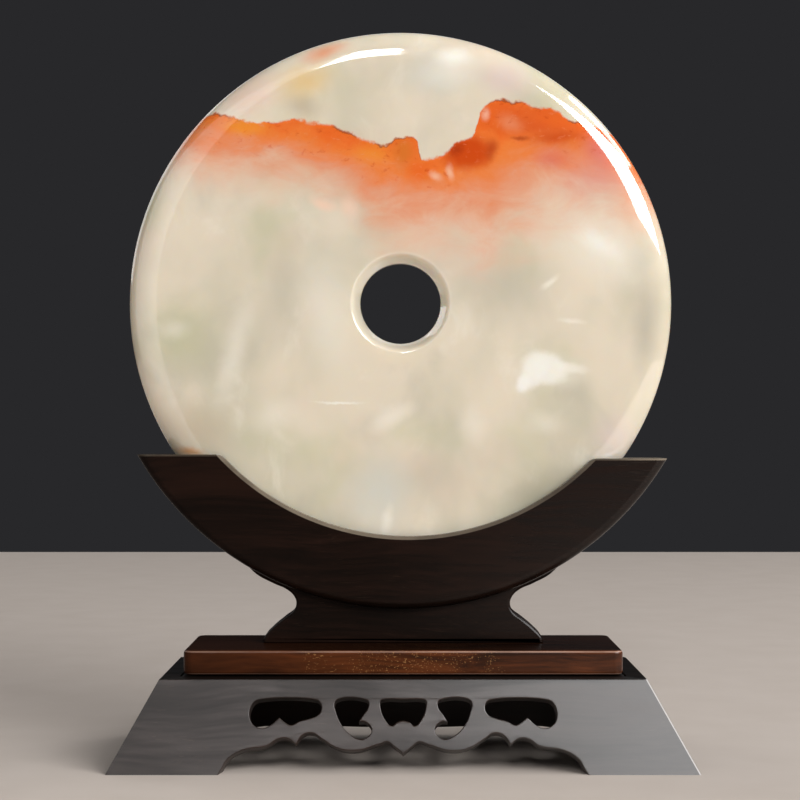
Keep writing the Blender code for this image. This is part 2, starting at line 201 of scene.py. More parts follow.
class Workpiece:
    """One piece on the bench: a mesh object, and the hand tools that shape it."""

    def __init__(self, name: str) -> None:
        """Take over the object that an operator has just added.

        Args:
            name: The piece's name.
        """
        self.item = bpy.context.object
        self.item.name = name
        self.item.data.name = name

    @classmethod
    def block(cls, name: str, size: Vector, centre: Vector) -> "Workpiece":
        """Start from a rectangular block.

        Args:
            name: The piece's name.
            size: Its width, depth and height.
            centre: Its middle.

        Returns:
            The piece, with its place in its mesh.
        """
        bpy.ops.object.select_all(action="DESELECT")
        bpy.ops.mesh.primitive_cube_add(size=1, location=centre)
        bpy.context.object.scale = size
        bpy.ops.object.transform_apply(location=True, rotation=True, scale=True)
        return cls(name)

    @classmethod
    def drum(cls, name: str, radius: float, depth: float, centre: Vector, sides: int) -> "Workpiece":
        """Start from a drum that stands on its rim, with its axis along Y.

        Args:
            name: The piece's name.
            radius: Its radius.
            depth: Its thickness.
            centre: Its middle.
            sides: How many faces run round it.

        Returns:
            The piece, with its place in its mesh.
        """
        bpy.ops.object.select_all(action="DESELECT")
        bpy.ops.mesh.primitive_cylinder_add(
            vertices=sides,
            radius=radius,
            depth=depth,
            end_fill_type="NGON",
            location=centre,
            rotation=(math.radians(90), 0, 0),
        )
        bpy.ops.object.transform_apply(location=True, rotation=True, scale=True)
        return cls(name)

    @classmethod
    def sawn(
        cls,
        name: str,
        outlines: list[Outline],
        thickness: float,
        place: Matrix,
        rounding: float = 0.0,
    ) -> "Workpiece":
        """Saw a board from outlines drawn flat: the first is its edge, the others are holes.

        Args:
            name: The piece's name.
            outlines: Closed outlines as (across, up, corner) points.
            thickness: The board's thickness.
            place: Where the board's middle plane goes.
            rounding: Radius of the rounding along all sawn edges.

        Returns:
            The piece, with its place in its mesh.
        """
        curve = bpy.data.curves.new(name, "CURVE")
        curve.dimensions = "2D"
        curve.fill_mode = "BOTH"
        curve.extrude = thickness / 2 - rounding
        curve.bevel_depth = rounding
        curve.bevel_resolution = 2
        curve.offset = -rounding
        curve.resolution_u = 8
        curve.render_resolution_u = 8
        for outline in outlines:
            spline = curve.splines.new("BEZIER")
            spline.bezier_points.add(len(outline) - 1)
            for point, (across, up, corner) in zip(spline.bezier_points, outline):
                point.co = (across, up, 0)
                point.handle_left_type = corner.value
                point.handle_right_type = corner.value
            spline.use_cyclic_u = True
        bpy.ops.object.select_all(action="DESELECT")
        item = bpy.data.objects.new(name, curve)
        bpy.context.scene.collection.objects.link(item)
        bpy.context.view_layer.objects.active = item
        item.select_set(True)
        bpy.ops.object.convert(target="MESH")
        bpy.context.object.matrix_world = place
        bpy.ops.object.transform_apply(location=True, rotation=True, scale=True)
        board = cls(name)
        board.weld()
        return board

    def take_up(self) -> None:
        """Make this piece the only selected and the active one."""
        bpy.ops.object.select_all(action="DESELECT")
        self.item.select_set(True)
        bpy.context.view_layer.objects.active = self.item

    @contextmanager
    def editing(self) -> Iterator[None]:
        """Open the piece in edit mode with nothing selected, and close it after."""
        self.take_up()
        bpy.ops.object.mode_set(mode="EDIT")
        bpy.ops.mesh.reveal(select=False)
        bpy.ops.mesh.select_all(action="DESELECT")
        yield
        bpy.ops.object.mode_set(mode="OBJECT")

    def choose(self, kind: Choice, test: Test) -> None:
        """Select the faces or edges that pass a test, and no others. Needs edit mode.

        Args:
            kind: Faces or edges.
            test: Says whether one of them is chosen.
        """
        bpy.ops.mesh.select_mode(type=kind.value)
        bpy.ops.mesh.select_all(action="DESELECT")
        shape = bmesh.from_edit_mesh(self.item.data)
        for element in shape.faces if kind is Choice.FACES else shape.edges:
            if test(element):
                element.select_set(True)
        bmesh.update_edit_mesh(self.item.data)

    def weld(self) -> None:
        """Merge doubled points and turn all faces outwards."""
        with self.editing():
            bpy.ops.mesh.select_all(action="SELECT")
            bpy.ops.mesh.remove_doubles(threshold=WELD_DISTANCE)
            bpy.ops.mesh.normals_make_consistent(inside=False)

    def slice(self, point: Vector, away: Vector) -> None:
        """Saw the piece along a plane, close the cut and drop the side that the arrow points to.

        Args:
            point: A point on the plane.
            away: Direction towards the side that is dropped.
        """
        with self.editing():
            bpy.ops.mesh.select_all(action="SELECT")
            bpy.ops.mesh.bisect(
                plane_co=point,
                plane_no=away,
                use_fill=True,
                clear_outer=True,
                threshold=WELD_DISTANCE,
            )

    def ease_edges(self, test: Test, width: float, segments: int, profile: float = 0.5) -> None:
        """Round the edges that pass a test.

        Args:
            test: Says whether an edge is rounded.
            width: Width of the rounding.
            segments: Steps in the rounding.
            profile: Shape of the rounding: 0.5 is round, and less is closer to a flat.
        """
        with self.editing():
            self.choose(Choice.EDGES, test)
            bpy.ops.mesh.bevel(
                offset_type="OFFSET",
                offset=width,
                segments=segments,
                profile=profile,
                affect="EDGES",
                clamp_overlap=True,
            )

    def combine(self, other: "Workpiece", how: Cut) -> None:
        """Join another shape to the piece or cut it away, and use that shape up.

        Args:
            other: The shape that joins or cuts.
            how: Which of the two.
        """
        self.take_up()
        modifier = self.item.modifiers.new("combine", "BOOLEAN")
        modifier.object = other.item
        modifier.operation = how.value
        modifier.solver = "EXACT"
        bpy.ops.object.modifier_apply(modifier=modifier.name)
        bpy.data.objects.remove(other.item, do_unlink=True)

    def soften(self, width: float, segments: int, angle: float) -> None:
        """Round every edge sharper than an angle.

        Args:
            width: Width of the rounding.
            segments: Steps in the rounding.
            angle: The angle in degrees.
        """
        self.take_up()
        modifier = self.item.modifiers.new("soften", "BEVEL")
        modifier.width = width
        modifier.segments = segments
        modifier.limit_method = "ANGLE"
        modifier.angle_limit = math.radians(angle)
        modifier.use_clamp_overlap = True
        bpy.ops.object.modifier_apply(modifier=modifier.name)

    def polish(self, angle: float = 38.0) -> None:
        """Shade the piece round where its faces turn gently, and keep its flats flat.

        Args:
            angle: The sharpest edge, in degrees, that still looks round.
        """
        self.take_up()
        bpy.ops.object.shade_smooth_by_angle(angle=math.radians(angle))
        modifier = self.item.modifiers.new("flats", "WEIGHTED_NORMAL")
        modifier.mode = "FACE_AREA"
        modifier.weight = 100
        modifier.keep_sharp = True
        bpy.ops.object.modifier_apply(modifier=modifier.name)

    def deliver(self, slot: str, finish: bpy.types.Material, *nodes: str) -> None:
        """Give the piece its finish and put it in the frame in place of its CAD nodes.

        Args:
            slot: The record's material slot; not used.
            finish: The material.
            nodes: The CAD nodes that it stands for.
        """
        self.item.data.materials.clear()
        self.item.data.materials.append(finish)
        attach(self.item, "root")
        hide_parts(*nodes)
        LOG.info("%s: %d faces", self.item.name, len(self.item.data.polygons))


class Recipe:
    """A material being mixed: adds shader nodes and wires them up."""

    def __init__(self, name: str) -> None:
        """Start a material with a plain shader and the object's own coordinates.

        Args:
            name: The material's name.
        """
        self.material = bpy.data.materials.new(name)
        self.material.use_nodes = True
        self.tree = self.material.node_tree
        self.shader = self.tree.nodes["Principled BSDF"]
        self.place = self.tree.nodes.new("ShaderNodeTexCoord").outputs["Object"]

    def plug(self, value: object, socket: bpy.types.NodeSocket) -> None:
        """Feed a socket from another socket, or set it to a value.

        Args:
            value: A socket, a number, a vector or a colour.
            socket: The input it goes to.
        """
        if isinstance(value, bpy.types.NodeSocket):
            self.tree.links.new(value, socket)
        else:
            socket.default_value = value

    def calculate(self, operation: str, first: object, second: object = 0.0, third: object = 0.0) -> object:
        """Work out a number.

        Args:
            operation: Name of the Math node's operation.
            first: First number or socket.
            second: Second one.
            third: Third one, for operations that take three.

        Returns:
            The result's socket.
        """
        node = self.tree.nodes.new("ShaderNodeMath")
        node.operation = operation
        self.plug(first, node.inputs[0])
        self.plug(second, node.inputs[1])
        self.plug(third, node.inputs[2])
        return node.outputs[0]

    def combine_vectors(self, operation: str, first: object, second: object) -> object:
        """Work out a vector, or a vector's length.

        Args:
            operation: Name of the Vector Math node's operation.
            first: First vector or socket.
            second: Second one.

        Returns:
            The result's socket.
        """
        node = self.tree.nodes.new("ShaderNodeVectorMath")
        node.operation = operation
        self.plug(first, node.inputs[0])
        if operation == "LENGTH":
            return node.outputs["Value"]
        if operation == "SCALE":
            self.plug(second, node.inputs["Scale"])
        else:
            self.plug(second, node.inputs[1])
        return node.outputs["Vector"]

    def split(self, vector: object) -> dict[str, bpy.types.NodeSocket]:
        """Take a vector apart.

        Args:
            vector: The vector.

        Returns:
            Its numbers by the names X, Y and Z.
        """
        node = self.tree.nodes.new("ShaderNodeSeparateXYZ")
        self.plug(vector, node.inputs[0])
        return {name: node.outputs[name] for name in ("X", "Y", "Z")}

    def mapped(
        self,
        vector: object,
        move: tuple = (0, 0, 0),
        turn: tuple = (0, 0, 0),
        scale: tuple = (1, 1, 1),
        kind: str = "POINT",
    ) -> object:
        """Move, turn and scale a pattern's coordinates.

        Args:
            vector: The coordinates.
            move: Location of the Mapping node.
            turn: Rotation in degrees.
            scale: Scale of the Mapping node.
            kind: POINT, or TEXTURE for the inverse.

        Returns:
            The new coordinates.
        """
        node = self.tree.nodes.new("ShaderNodeMapping")
        node.vector_type = kind
        self.plug(vector, node.inputs["Vector"])
        node.inputs["Location"].default_value = move
        node.inputs["Rotation"].default_value = [math.radians(angle) for angle in turn]
        node.inputs["Scale"].default_value = scale
        return node.outputs["Vector"]

    def noise(
        self,
        vector: object,
        scale: float,
        detail: float = 4.0,
        roughness: float = 0.5,
        distortion: float = 0.0,
        coloured: bool = False,
    ) -> object:
        """Add a noise pattern.

        Args:
            vector: Its coordinates.
            scale: Its scale.
            detail: How many finer layers it has.
            roughness: How strong the finer layers are.
            distortion: How far it is swirled.
            coloured: Whether to return three noises as a vector.

        Returns:
            The pattern's socket.
        """
        node = self.tree.nodes.new("ShaderNodeTexNoise")
        self.plug(vector, node.inputs["Vector"])
        node.inputs["Scale"].default_value = scale
        node.inputs["Detail"].default_value = detail
        node.inputs["Roughness"].default_value = roughness
        node.inputs["Distortion"].default_value = distortion
        return node.outputs["Color" if coloured else "Fac"]

    def fade(
        self,
        value: object,
        start: object,
        end: object,
        low: object = 0.0,
        high: object = 1.0,
    ) -> object:
        """Go smoothly from one value to another while a number goes from start to end.

        Args:
            value: The number.
            start: Where the fade starts.
            end: Where it ends.
            low: Result before the start.
            high: Result past the end.

        Returns:
            The faded value's socket.
        """
        node = self.tree.nodes.new("ShaderNodeMapRange")
        node.interpolation_type = "SMOOTHSTEP"
        self.plug(value, node.inputs["Value"])
        self.plug(start, node.inputs["From Min"])
        self.plug(end, node.inputs["From Max"])
        self.plug(low, node.inputs["To Min"])
        self.plug(high, node.inputs["To Max"])
        return node.outputs["Result"]

    def mix(self, amount: object, first: object, second: object) -> object:
        """Mix two colours.

        Args:
            amount: How much of the second.
            first: The first colour.
            second: The second colour.

        Returns:
            The mixed colour's socket.
        """
        node = self.tree.nodes.new("ShaderNodeMixRGB")
        self.plug(amount, node.inputs["Fac"])
        self.plug(first, node.inputs["Color1"])
        self.plug(second, node.inputs["Color2"])
        return node.outputs["Color"]

    def curve(self, value: object, points: list[Point]) -> object:
        """Read a given curve.

        Args:
            value: Where to read it, 0 to 1.
            points: The curve's points, both numbers from 0 to 1.

        Returns:
            The curve's height there.
        """
        node = self.tree.nodes.new("ShaderNodeFloatCurve")
        line = node.mapping.curves[0]
        while len(line.points) < len(points):
            line.points.new(0.5, 0.5)
        for handle, (across, up) in zip(line.points, sorted(points)):
            handle.location = (across, up)
            handle.handle_type = "AUTO_CLAMPED"
        node.mapping.update()
        self.plug(value, node.inputs["Value"])
        return node.outputs["Value"]

    def ramp(self, value: object, stops: list[tuple[float, Colour]]) -> object:
        """Read a colour ramp.

        Args:
            value: Where to read it, 0 to 1.
            stops: The ramp's colours and where they stand.

        Returns:
            The colour there.
        """
        node = self.tree.nodes.new("ShaderNodeValToRGB")
        self.plug(value, node.inputs["Fac"])
        elements = node.color_ramp.elements
        while len(elements) < len(stops):
            elements.new(0.5)
        for element, (position, colour) in zip(elements, stops):
            element.position = position
            element.color = colour
        return node.outputs["Color"]

    def emboss(self, height: object, strength: float, distance: float) -> None:
        """Raise a pattern in the surface.

        Args:
            height: The pattern.
            strength: How much of it shows.
            distance: How high it stands, in metres.
        """
        node = self.tree.nodes.new("ShaderNodeBump")
        node.inputs["Strength"].default_value = strength
        node.inputs["Distance"].default_value = distance
        self.plug(height, node.inputs["Height"])
        self.plug(node.outputs["Normal"], self.shader.inputs["Normal"])


class Jade(Enum):
    """Colours that the stone is made of, and the painted light round its hole."""

    # Painted light for the hole's shaded side, not a colour of the stone
    THIN_EDGE = paint(255, 246, 230)
    CREAM = paint(233, 221, 200)
    CELADON = paint(213, 205, 183)
    CLEAR_GREY = paint(194, 187, 170)
    MILK = paint(246, 239, 224)
    WHITE = paint(252, 248, 238)
    GREEN_TINT = paint(200, 199, 160)
    OLIVE_GREY = paint(170, 165, 143)
    COOL_PALE = paint(218, 217, 206)
    LILAC = paint(226, 206, 202)
    PINK = paint(234, 208, 190)
    SMOKE = paint(194, 177, 154)
    HONEY = paint(230, 198, 134)
    RUST = paint(214, 140, 64)
    PEACH = paint(246, 214, 190)
    AMBER = paint(244, 154, 50)
    BROWN_AMBER = paint(222, 122, 44)
    ORANGE = paint(240, 134, 62)
    DEEP_ORANGE = paint(238, 112, 40)
    RED_ORANGE = paint(212, 80, 20)
    DARK_RED = paint(178, 60, 18)
    SALMON = paint(234, 154, 114)
    BLUSH = paint(236, 186, 156)
    ROSE = paint(222, 122, 110)
    ROSE_VEIL = paint(230, 158, 142)
    BURNT_ORANGE = paint(220, 96, 42)
    BROWN_LINE = paint(140, 66, 26)


@dataclass(frozen=True)
class Patch:
    """A soft oval patch in the stone, in shares of the disc's radius from its centre."""

    name: str
    across: float
    up: float
    half_width: float
    half_height: float
    colour: Jade
    strength: float = 1.0
    turn: float = 0.0
    core: float = 0.0


@dataclass(frozen=True)
class JadeFinish:
    """Polished cream and celadon jade with clouds, one orange vein across its upper part, and painted light
    and shade round the hole.
    """

    roughness: float = 0.05
    refraction: float = 1.62
    coat_refraction: float = 1.7
    translucency: float = 0.5
    scatter_depth: float = 0.008
    wobble: float = 0.05
    hole_share: float = 0.155
    hole_fade: float = 0.04
    shade_across: float = 0.55
    shade_up: float = 0.83
    # Strengths of the painted light and the painted shade round the hole
    painted_light_strength: float = 0.95
    painted_shade_strength: float = 0.55
    vein_edge: tuple[Point, ...] = (
        (-1.00, 0.66), (-0.703, 0.694), (-0.596, 0.676), (-0.500, 0.664), (-0.370, 0.672),
        (-0.270, 0.656), (-0.180, 0.618), (-0.100, 0.586), (-0.050, 0.580), (-0.010, 0.604),
        (0.036, 0.609), (0.066, 0.560), (0.086, 0.525), (0.160, 0.541), (0.200, 0.578),
        (0.262, 0.602), (0.280, 0.655), (0.300, 0.715), (0.345, 0.742), (0.420, 0.746),
        (0.500, 0.722), (0.570, 0.706), (0.616, 0.676), (0.701, 0.660), (1.00, 0.50),
    )
    vein_crest: tuple[Point, ...] = (
        (-1.00, 0.67), (-0.70, 0.695), (-0.40, 0.67), (-0.12, 0.60), (0.08, 0.57),
        (0.30, 0.62), (0.50, 0.69), (0.72, 0.65), (1.00, 0.50),
    )
    vein_reach: tuple[Point, ...] = (
        (-1.00, 0.22), (-0.75, 0.31), (-0.57, 0.35), (-0.38, 0.36), (-0.20, 0.41),
        (0.00, 0.56), (0.17, 0.52), (0.35, 0.66), (0.54, 0.54), (0.72, 0.46),
        (1.00, 0.36),
    )

    def body_patches(self) -> list[Patch]:
        """Name the patches that can be told apart in the body, from the broad to the small.

        Returns:
            The patches, in the order they are laid on.
        """
        return [
            Patch("grey beside the hole", 0.40, 0.06, 0.26, 0.22, Jade.CLEAR_GREY, 0.55),
            Patch("grey left of the hole", -0.44, 0.00, 0.12, 0.26, Jade.CLEAR_GREY, 0.35, -12),
            Patch("cream left", -0.62, 0.18, 0.14, 0.30, Jade.CREAM, 0.35, 6),
            Patch("grey low", 0.0, -0.66, 0.30, 0.17, Jade.CLEAR_GREY, 0.4),
            Patch("pale beside the hole", -0.27, -0.02, 0.15, 0.34, Jade.MILK, 0.6, 10),
            Patch("pale stripe", -0.61, -0.18, 0.07, 0.30, Jade.MILK, 0.55, -14),
            Patch("green left", -0.80, -0.12, 0.20, 0.22, Jade.GREEN_TINT, 0.55),
            Patch("pale spot left", -0.83, -0.10, 0.09, 0.05, Jade.MILK, 0.45),
            Patch("green at the left rim", -0.93, 0.36, 0.10, 0.16, Jade.GREEN_TINT, 0.5),
            Patch("smoke low left", -0.76, -0.46, 0.22, 0.16, Jade.SMOKE, 0.6, -20),
            Patch("rust low left", -0.775, -0.546, 0.09, 0.028, Jade.RUST, 0.65, -4),
            Patch("pale low left", -0.46, -0.42, 0.12, 0.10, Jade.MILK, 0.5, 20),
            Patch("pale low middle", -0.31, -0.45, 0.14, 0.09, Jade.CREAM, 0.7),
            Patch("slanting pale", -0.03, -0.42, 0.13, 0.055, Jade.MILK, 0.7, 28),
            Patch("cool foot", -0.08, -0.70, 0.17, 0.22, Jade.COOL_PALE, 0.75),
            Patch("white foot streak", -0.05, -0.80, 0.03, 0.09, Jade.MILK, 0.8, -8),
            Patch("olive low right", 0.50, -0.72, 0.22, 0.16, Jade.OLIVE_GREY, 0.7, 35),
            Patch("pale low right", 0.27, -0.45, 0.08, 0.11, Jade.MILK, 0.45, 15),
            Patch("pale under the white", 0.53, -0.44, 0.10, 0.06, Jade.MILK, 0.4),
            Patch("pink low right", 0.78, -0.50, 0.14, 0.14, Jade.LILAC, 0.5),
            Patch("cream band right", 0.74, -0.10, 0.09, 0.36, Jade.CREAM, 0.8, -4),
            Patch("grey right", 0.91, -0.10, 0.09, 0.26, Jade.CLEAR_GREY, 0.8, -4),
            Patch("pale right shoulder", 0.76, 0.20, 0.26, 0.20, Jade.MILK, 0.75, -35),
            Patch("white right shoulder", 0.72, 0.22, 0.14, 0.06, Jade.WHITE, 0.7, -32),
            Patch("pink right shoulder", 0.86, 0.34, 0.12, 0.16, Jade.PEACH, 0.7),
            Patch("slanting streak", 0.545, 0.078, 0.055, 0.017, Jade.MILK, 0.9, 42),
            Patch("level streak", 0.63, -0.07, 0.07, 0.016, Jade.MILK, 0.8, -6),
            Patch("thin pale line", -0.23, -0.366, 0.13, 0.008, Jade.WHITE, 0.8),
            Patch("beige over the notch", 0.02, 0.72, 0.34, 0.20, Jade.CREAM, 0.7),
            Patch("cool top", 0.14, 0.84, 0.20, 0.12, Jade.COOL_PALE, 0.8),
            Patch("white top haze", 0.20, 0.86, 0.16, 0.10, Jade.MILK, 0.7, 12),
            Patch("white top", 0.195, 0.905, 0.10, 0.055, Jade.WHITE, 0.95, 4),
            Patch("lilac top right", 0.38, 0.82, 0.14, 0.09, Jade.LILAC, 0.7, -15),
            Patch("pink top left", -0.55, 0.76, 0.18, 0.10, Jade.PINK, 0.9, 25),
            Patch("smoke top left", -0.36, 0.72, 0.12, 0.07, Jade.SMOKE, 0.6, -10),
            Patch("honey top left", -0.35, 0.81, 0.16, 0.10, Jade.HONEY, 0.78, 15),
            Patch("peach at the top rim", -0.28, 0.92, 0.13, 0.05, Jade.SALMON, 0.75, 14),
        ]

    def top_patches(self) -> list[Patch]:
        """Name the patches that lie over the foot of the vein.

        Returns:
            The patches, in the order they are laid on.
        """
        return [
            Patch("pale under the vein", -0.23, 0.29, 0.12, 0.12, Jade.CREAM, 0.9, -15),
            Patch("peach fleck", -0.275, 0.360, 0.085, 0.035, Jade.PEACH, 0.85, -28),
            Patch("peach fleck beside it", -0.185, 0.345, 0.045, 0.06, Jade.PEACH, 0.8),
            Patch("white haze", 0.56, -0.25, 0.17, 0.10, Jade.MILK, 0.6),
            Patch("white body", 0.525, -0.240, 0.105, 0.078, Jade.WHITE, 0.75, -8, 0.55),
            Patch("white slope", 0.485, -0.262, 0.055, 0.105, Jade.WHITE, 0.7, -38, 0.4),
            Patch("white toe", 0.452, -0.300, 0.032, 0.045, Jade.WHITE, 1.0, -20, 0.3),
            Patch("white horn", 0.625, -0.235, 0.085, 0.030, Jade.WHITE, 0.55, -10, 0.2),
        ]

    def vein_patches(self) -> list[Patch]:
        """Name the patches that can be told apart in the vein.

        Returns:
            The patches, in the order they are laid on.
        """
        return [
            Patch("amber left", -0.57, 0.645, 0.13, 0.045, Jade.AMBER, 0.9, -4),
            Patch("deep orange left", -0.265, 0.615, 0.09, 0.075, Jade.DEEP_ORANGE, 0.9, -18),
            Patch("brown amber middle", 0.01, 0.550, 0.06, 0.10, Jade.BROWN_AMBER, 0.9, 8),
            Patch("orange beside it", -0.10, 0.545, 0.10, 0.06, Jade.AMBER, 0.6),
            Patch("red orange under the notch", 0.07, 0.480, 0.08, 0.07, Jade.DEEP_ORANGE, 0.9),
            Patch("red blob", 0.25, 0.545, 0.13, 0.085, Jade.RED_ORANGE, 1.0, 12, 0.35),
            Patch("dark spot left", 0.205, 0.555, 0.05, 0.035, Jade.DARK_RED, 0.8, 30),
            Patch("dark ring right", 0.335, 0.560, 0.035, 0.06, Jade.DARK_RED, 0.6, -10),
            Patch("deep right", 0.52, 0.650, 0.30, 0.11, Jade.BURNT_ORANGE, 0.85, -10),
            Patch("lobe core", 0.40, 0.660, 0.07, 0.05, Jade.SALMON, 0.6, -35),
            Patch("lobe peach", 0.308, 0.690, 0.025, 0.035, Jade.PEACH, 0.55),
            Patch("orange band right", 0.56, 0.665, 0.16, 0.05, Jade.DEEP_ORANGE, 0.7, -8),
            Patch("red streak right", 0.57, 0.605, 0.13, 0.030, Jade.RED_ORANGE, 0.7, 4),
            Patch("dark streak middle", 0.435, 0.598, 0.05, 0.014, Jade.DARK_RED, 0.75),
            Patch("rose under the streak", 0.56, 0.530, 0.11, 0.06, Jade.ROSE, 0.6),
            Patch("rose at the right rim", 0.73, 0.560, 0.09, 0.12, Jade.ROSE, 0.9, 35),
            Patch("rose veil right", 0.72, 0.450, 0.22, 0.14, Jade.ROSE_VEIL, 0.8, 10),
            Patch("low orange", 0.17, 0.430, 0.10, 0.05, Jade.ORANGE, 0.5, 20),
            Patch("pale fleck", 0.130, 0.462, 0.040, 0.022, Jade.PEACH, 0.5, -25),
            Patch("pale fleck beside it", 0.180, 0.474, 0.020, 0.045, Jade.PEACH, 0.55, 12),
        ]

    def mix(self) -> bpy.types.Material:
        """Mix the material.

        Returns:
            The jade.
        """
        recipe = Recipe("polished_jade")
        share = 1 / DISC_RADIUS
        stone = recipe.mapped(
            recipe.place,
            move=tuple(-value * share for value in DISC_CENTRE),
            scale=(share, share, share),
        )
        waves = recipe.combine_vectors(
            "SUBTRACT", recipe.noise(stone, 7.0, 6.0, 0.62, coloured=True), (0.5, 0.5, 0.5)
        )
        frayed = recipe.combine_vectors(
            "ADD", stone, recipe.combine_vectors("SCALE", waves, self.wobble)
        )
        flat = recipe.combine_vectors("MULTIPLY", frayed, (1, 0, 1))
        body = self.clouds(recipe, stone)
        body = self.lay_patches(recipe, flat, body, self.body_patches())
        body = self.lay_vein(recipe, frayed, stone, body)
        body = self.lay_patches(recipe, flat, body, self.top_patches())
        # Painted light and painted shade round the hole
        body = self.paint_light_round_hole(recipe, stone, body)
        recipe.plug(body, recipe.shader.inputs["Base Color"])
        recipe.shader.inputs["IOR"].default_value = self.refraction
        recipe.shader.inputs["Coat Weight"].default_value = 1.0
        recipe.shader.inputs["Coat IOR"].default_value = self.coat_refraction
        recipe.shader.inputs["Coat Roughness"].default_value = self.roughness
        recipe.shader.inputs["Subsurface Weight"].default_value = self.translucency
        recipe.shader.inputs["Subsurface Radius"].default_value = (1.0, 0.75, 0.5)
        recipe.shader.inputs["Subsurface Scale"].default_value = self.scatter_depth
        smears = recipe.noise(stone, 30.0, 3.0)
        gloss = recipe.fade(smears, 0.3, 0.7, self.roughness * 0.8, self.roughness * 1.6)
        recipe.plug(gloss, recipe.shader.inputs["Roughness"])
        recipe.emboss(recipe.noise(stone, 4.0, 2.0), 0.10, 0.0006)
        return recipe.material

    def paint_light_round_hole(self, recipe: Recipe, stone: object, body: object) -> object:
        """Paint light into the colour on the hole's shaded side, and paint shade on its lit side.

        Args:
            recipe: The material being mixed.
            stone: Coordinates in shares of the radius.
            body: The colour so far.

        Returns:
            The colour with painted light and painted shade round the hole.
        """
        flat = recipe.combine_vectors("MULTIPLY", stone, (1, 0, 1))
        distance = recipe.combine_vectors("LENGTH", flat, (0, 0, 0))
        parts = recipe.split(recipe.combine_vectors("NORMALIZE", flat, (0, 0, 0)))
        upward = recipe.calculate("MULTIPLY", parts["Z"], self.shade_up)
        shaded_side = recipe.calculate("MULTIPLY_ADD", parts["X"], self.shade_across, upward)
        wall = recipe.fade(distance, self.hole_share, self.hole_share + self.hole_fade, 1.0, 0.0)
        # Painted light: the hole's shaded side is mixed towards a pale colour
        thin = recipe.fade(shaded_side, -0.3, 0.5, 0.0, self.painted_light_strength)
        lighter = recipe.calculate("MULTIPLY", wall, thin)
        body = recipe.mix(lighter, body, Jade.THIN_EDGE.value)
        # Painted shade: the hole's lit side is mixed towards grey
        calm = recipe.fade(shaded_side, -0.9, 0.0, self.painted_shade_strength, 0.0)
        painted_shade_amount = recipe.calculate("MULTIPLY", wall, calm)
        return recipe.mix(painted_shade_amount, body, Jade.CLEAR_GREY.value)

    def clouds(self, recipe: Recipe, stone: object) -> object:
        """Cloud the body of the stone.

        Args:
            recipe: The material being mixed.
            stone: Coordinates in shares of the radius.

        Returns:
            The body's colour.
        """
        upright = recipe.mapped(stone, turn=(0, 12, 0), scale=(1.3, 1.0, 1.0))
        broad = recipe.noise(upright, 1.9, 3.0, 0.5, 0.3)
        body = recipe.mix(recipe.fade(broad, 0.32, 0.62), Jade.CELADON.value, Jade.CREAM.value)
        wisps = recipe.noise(recipe.mapped(stone, turn=(0, -25, 0), scale=(1.4, 1, 1)), 4.6, 4.0, 0.55, 0.5)
        body = recipe.mix(recipe.fade(wisps, 0.54, 0.80, 0.0, 0.5), body, Jade.MILK.value)
        clear = recipe.noise(recipe.mapped(stone, move=(4, 0, 2)), 3.0, 4.0, 0.5, 0.4)
        body = recipe.mix(recipe.fade(clear, 0.52, 0.72, 0.0, 0.45), body, Jade.CLEAR_GREY.value)
        tint = recipe.noise(recipe.mapped(stone, move=(1, 3, 7)), 2.4, 3.0, 0.5)
        body = recipe.mix(recipe.fade(tint, 0.54, 0.70, 0.0, 0.35), body, Jade.GREEN_TINT.value)
        warmth = recipe.noise(recipe.mapped(stone, move=(9, 1, 5)), 2.0, 3.0, 0.5)
        return recipe.mix(recipe.fade(warmth, 0.52, 0.70, 0.0, 0.35), body, Jade.PINK.value)

    def lay_patches(
        self,
        recipe: Recipe,
        flat: object,
        colour: object,
        patches: list[Patch],
    ) -> object:
        """Lay named patches on a colour.

        Args:
            recipe: The material being mixed.
            flat: Coordinates with a slight wobble and no depth.
            colour: The colour so far.
            patches: What is laid on.

        Returns:
            The colour with the patches.
        """
        for patch in patches:
            own = recipe.mapped(
                flat,
                move=(patch.across, 0, patch.up),
                turn=(0, -patch.turn, 0),
                scale=(patch.half_width, 1, patch.half_height),
                kind="TEXTURE",
            )
            distance = recipe.combine_vectors("LENGTH", own, (0, 0, 0))
            amount = recipe.fade(distance, patch.core, 1.0, patch.strength, 0.0)
            colour = recipe.mix(amount, colour, patch.colour.value)
        return colour

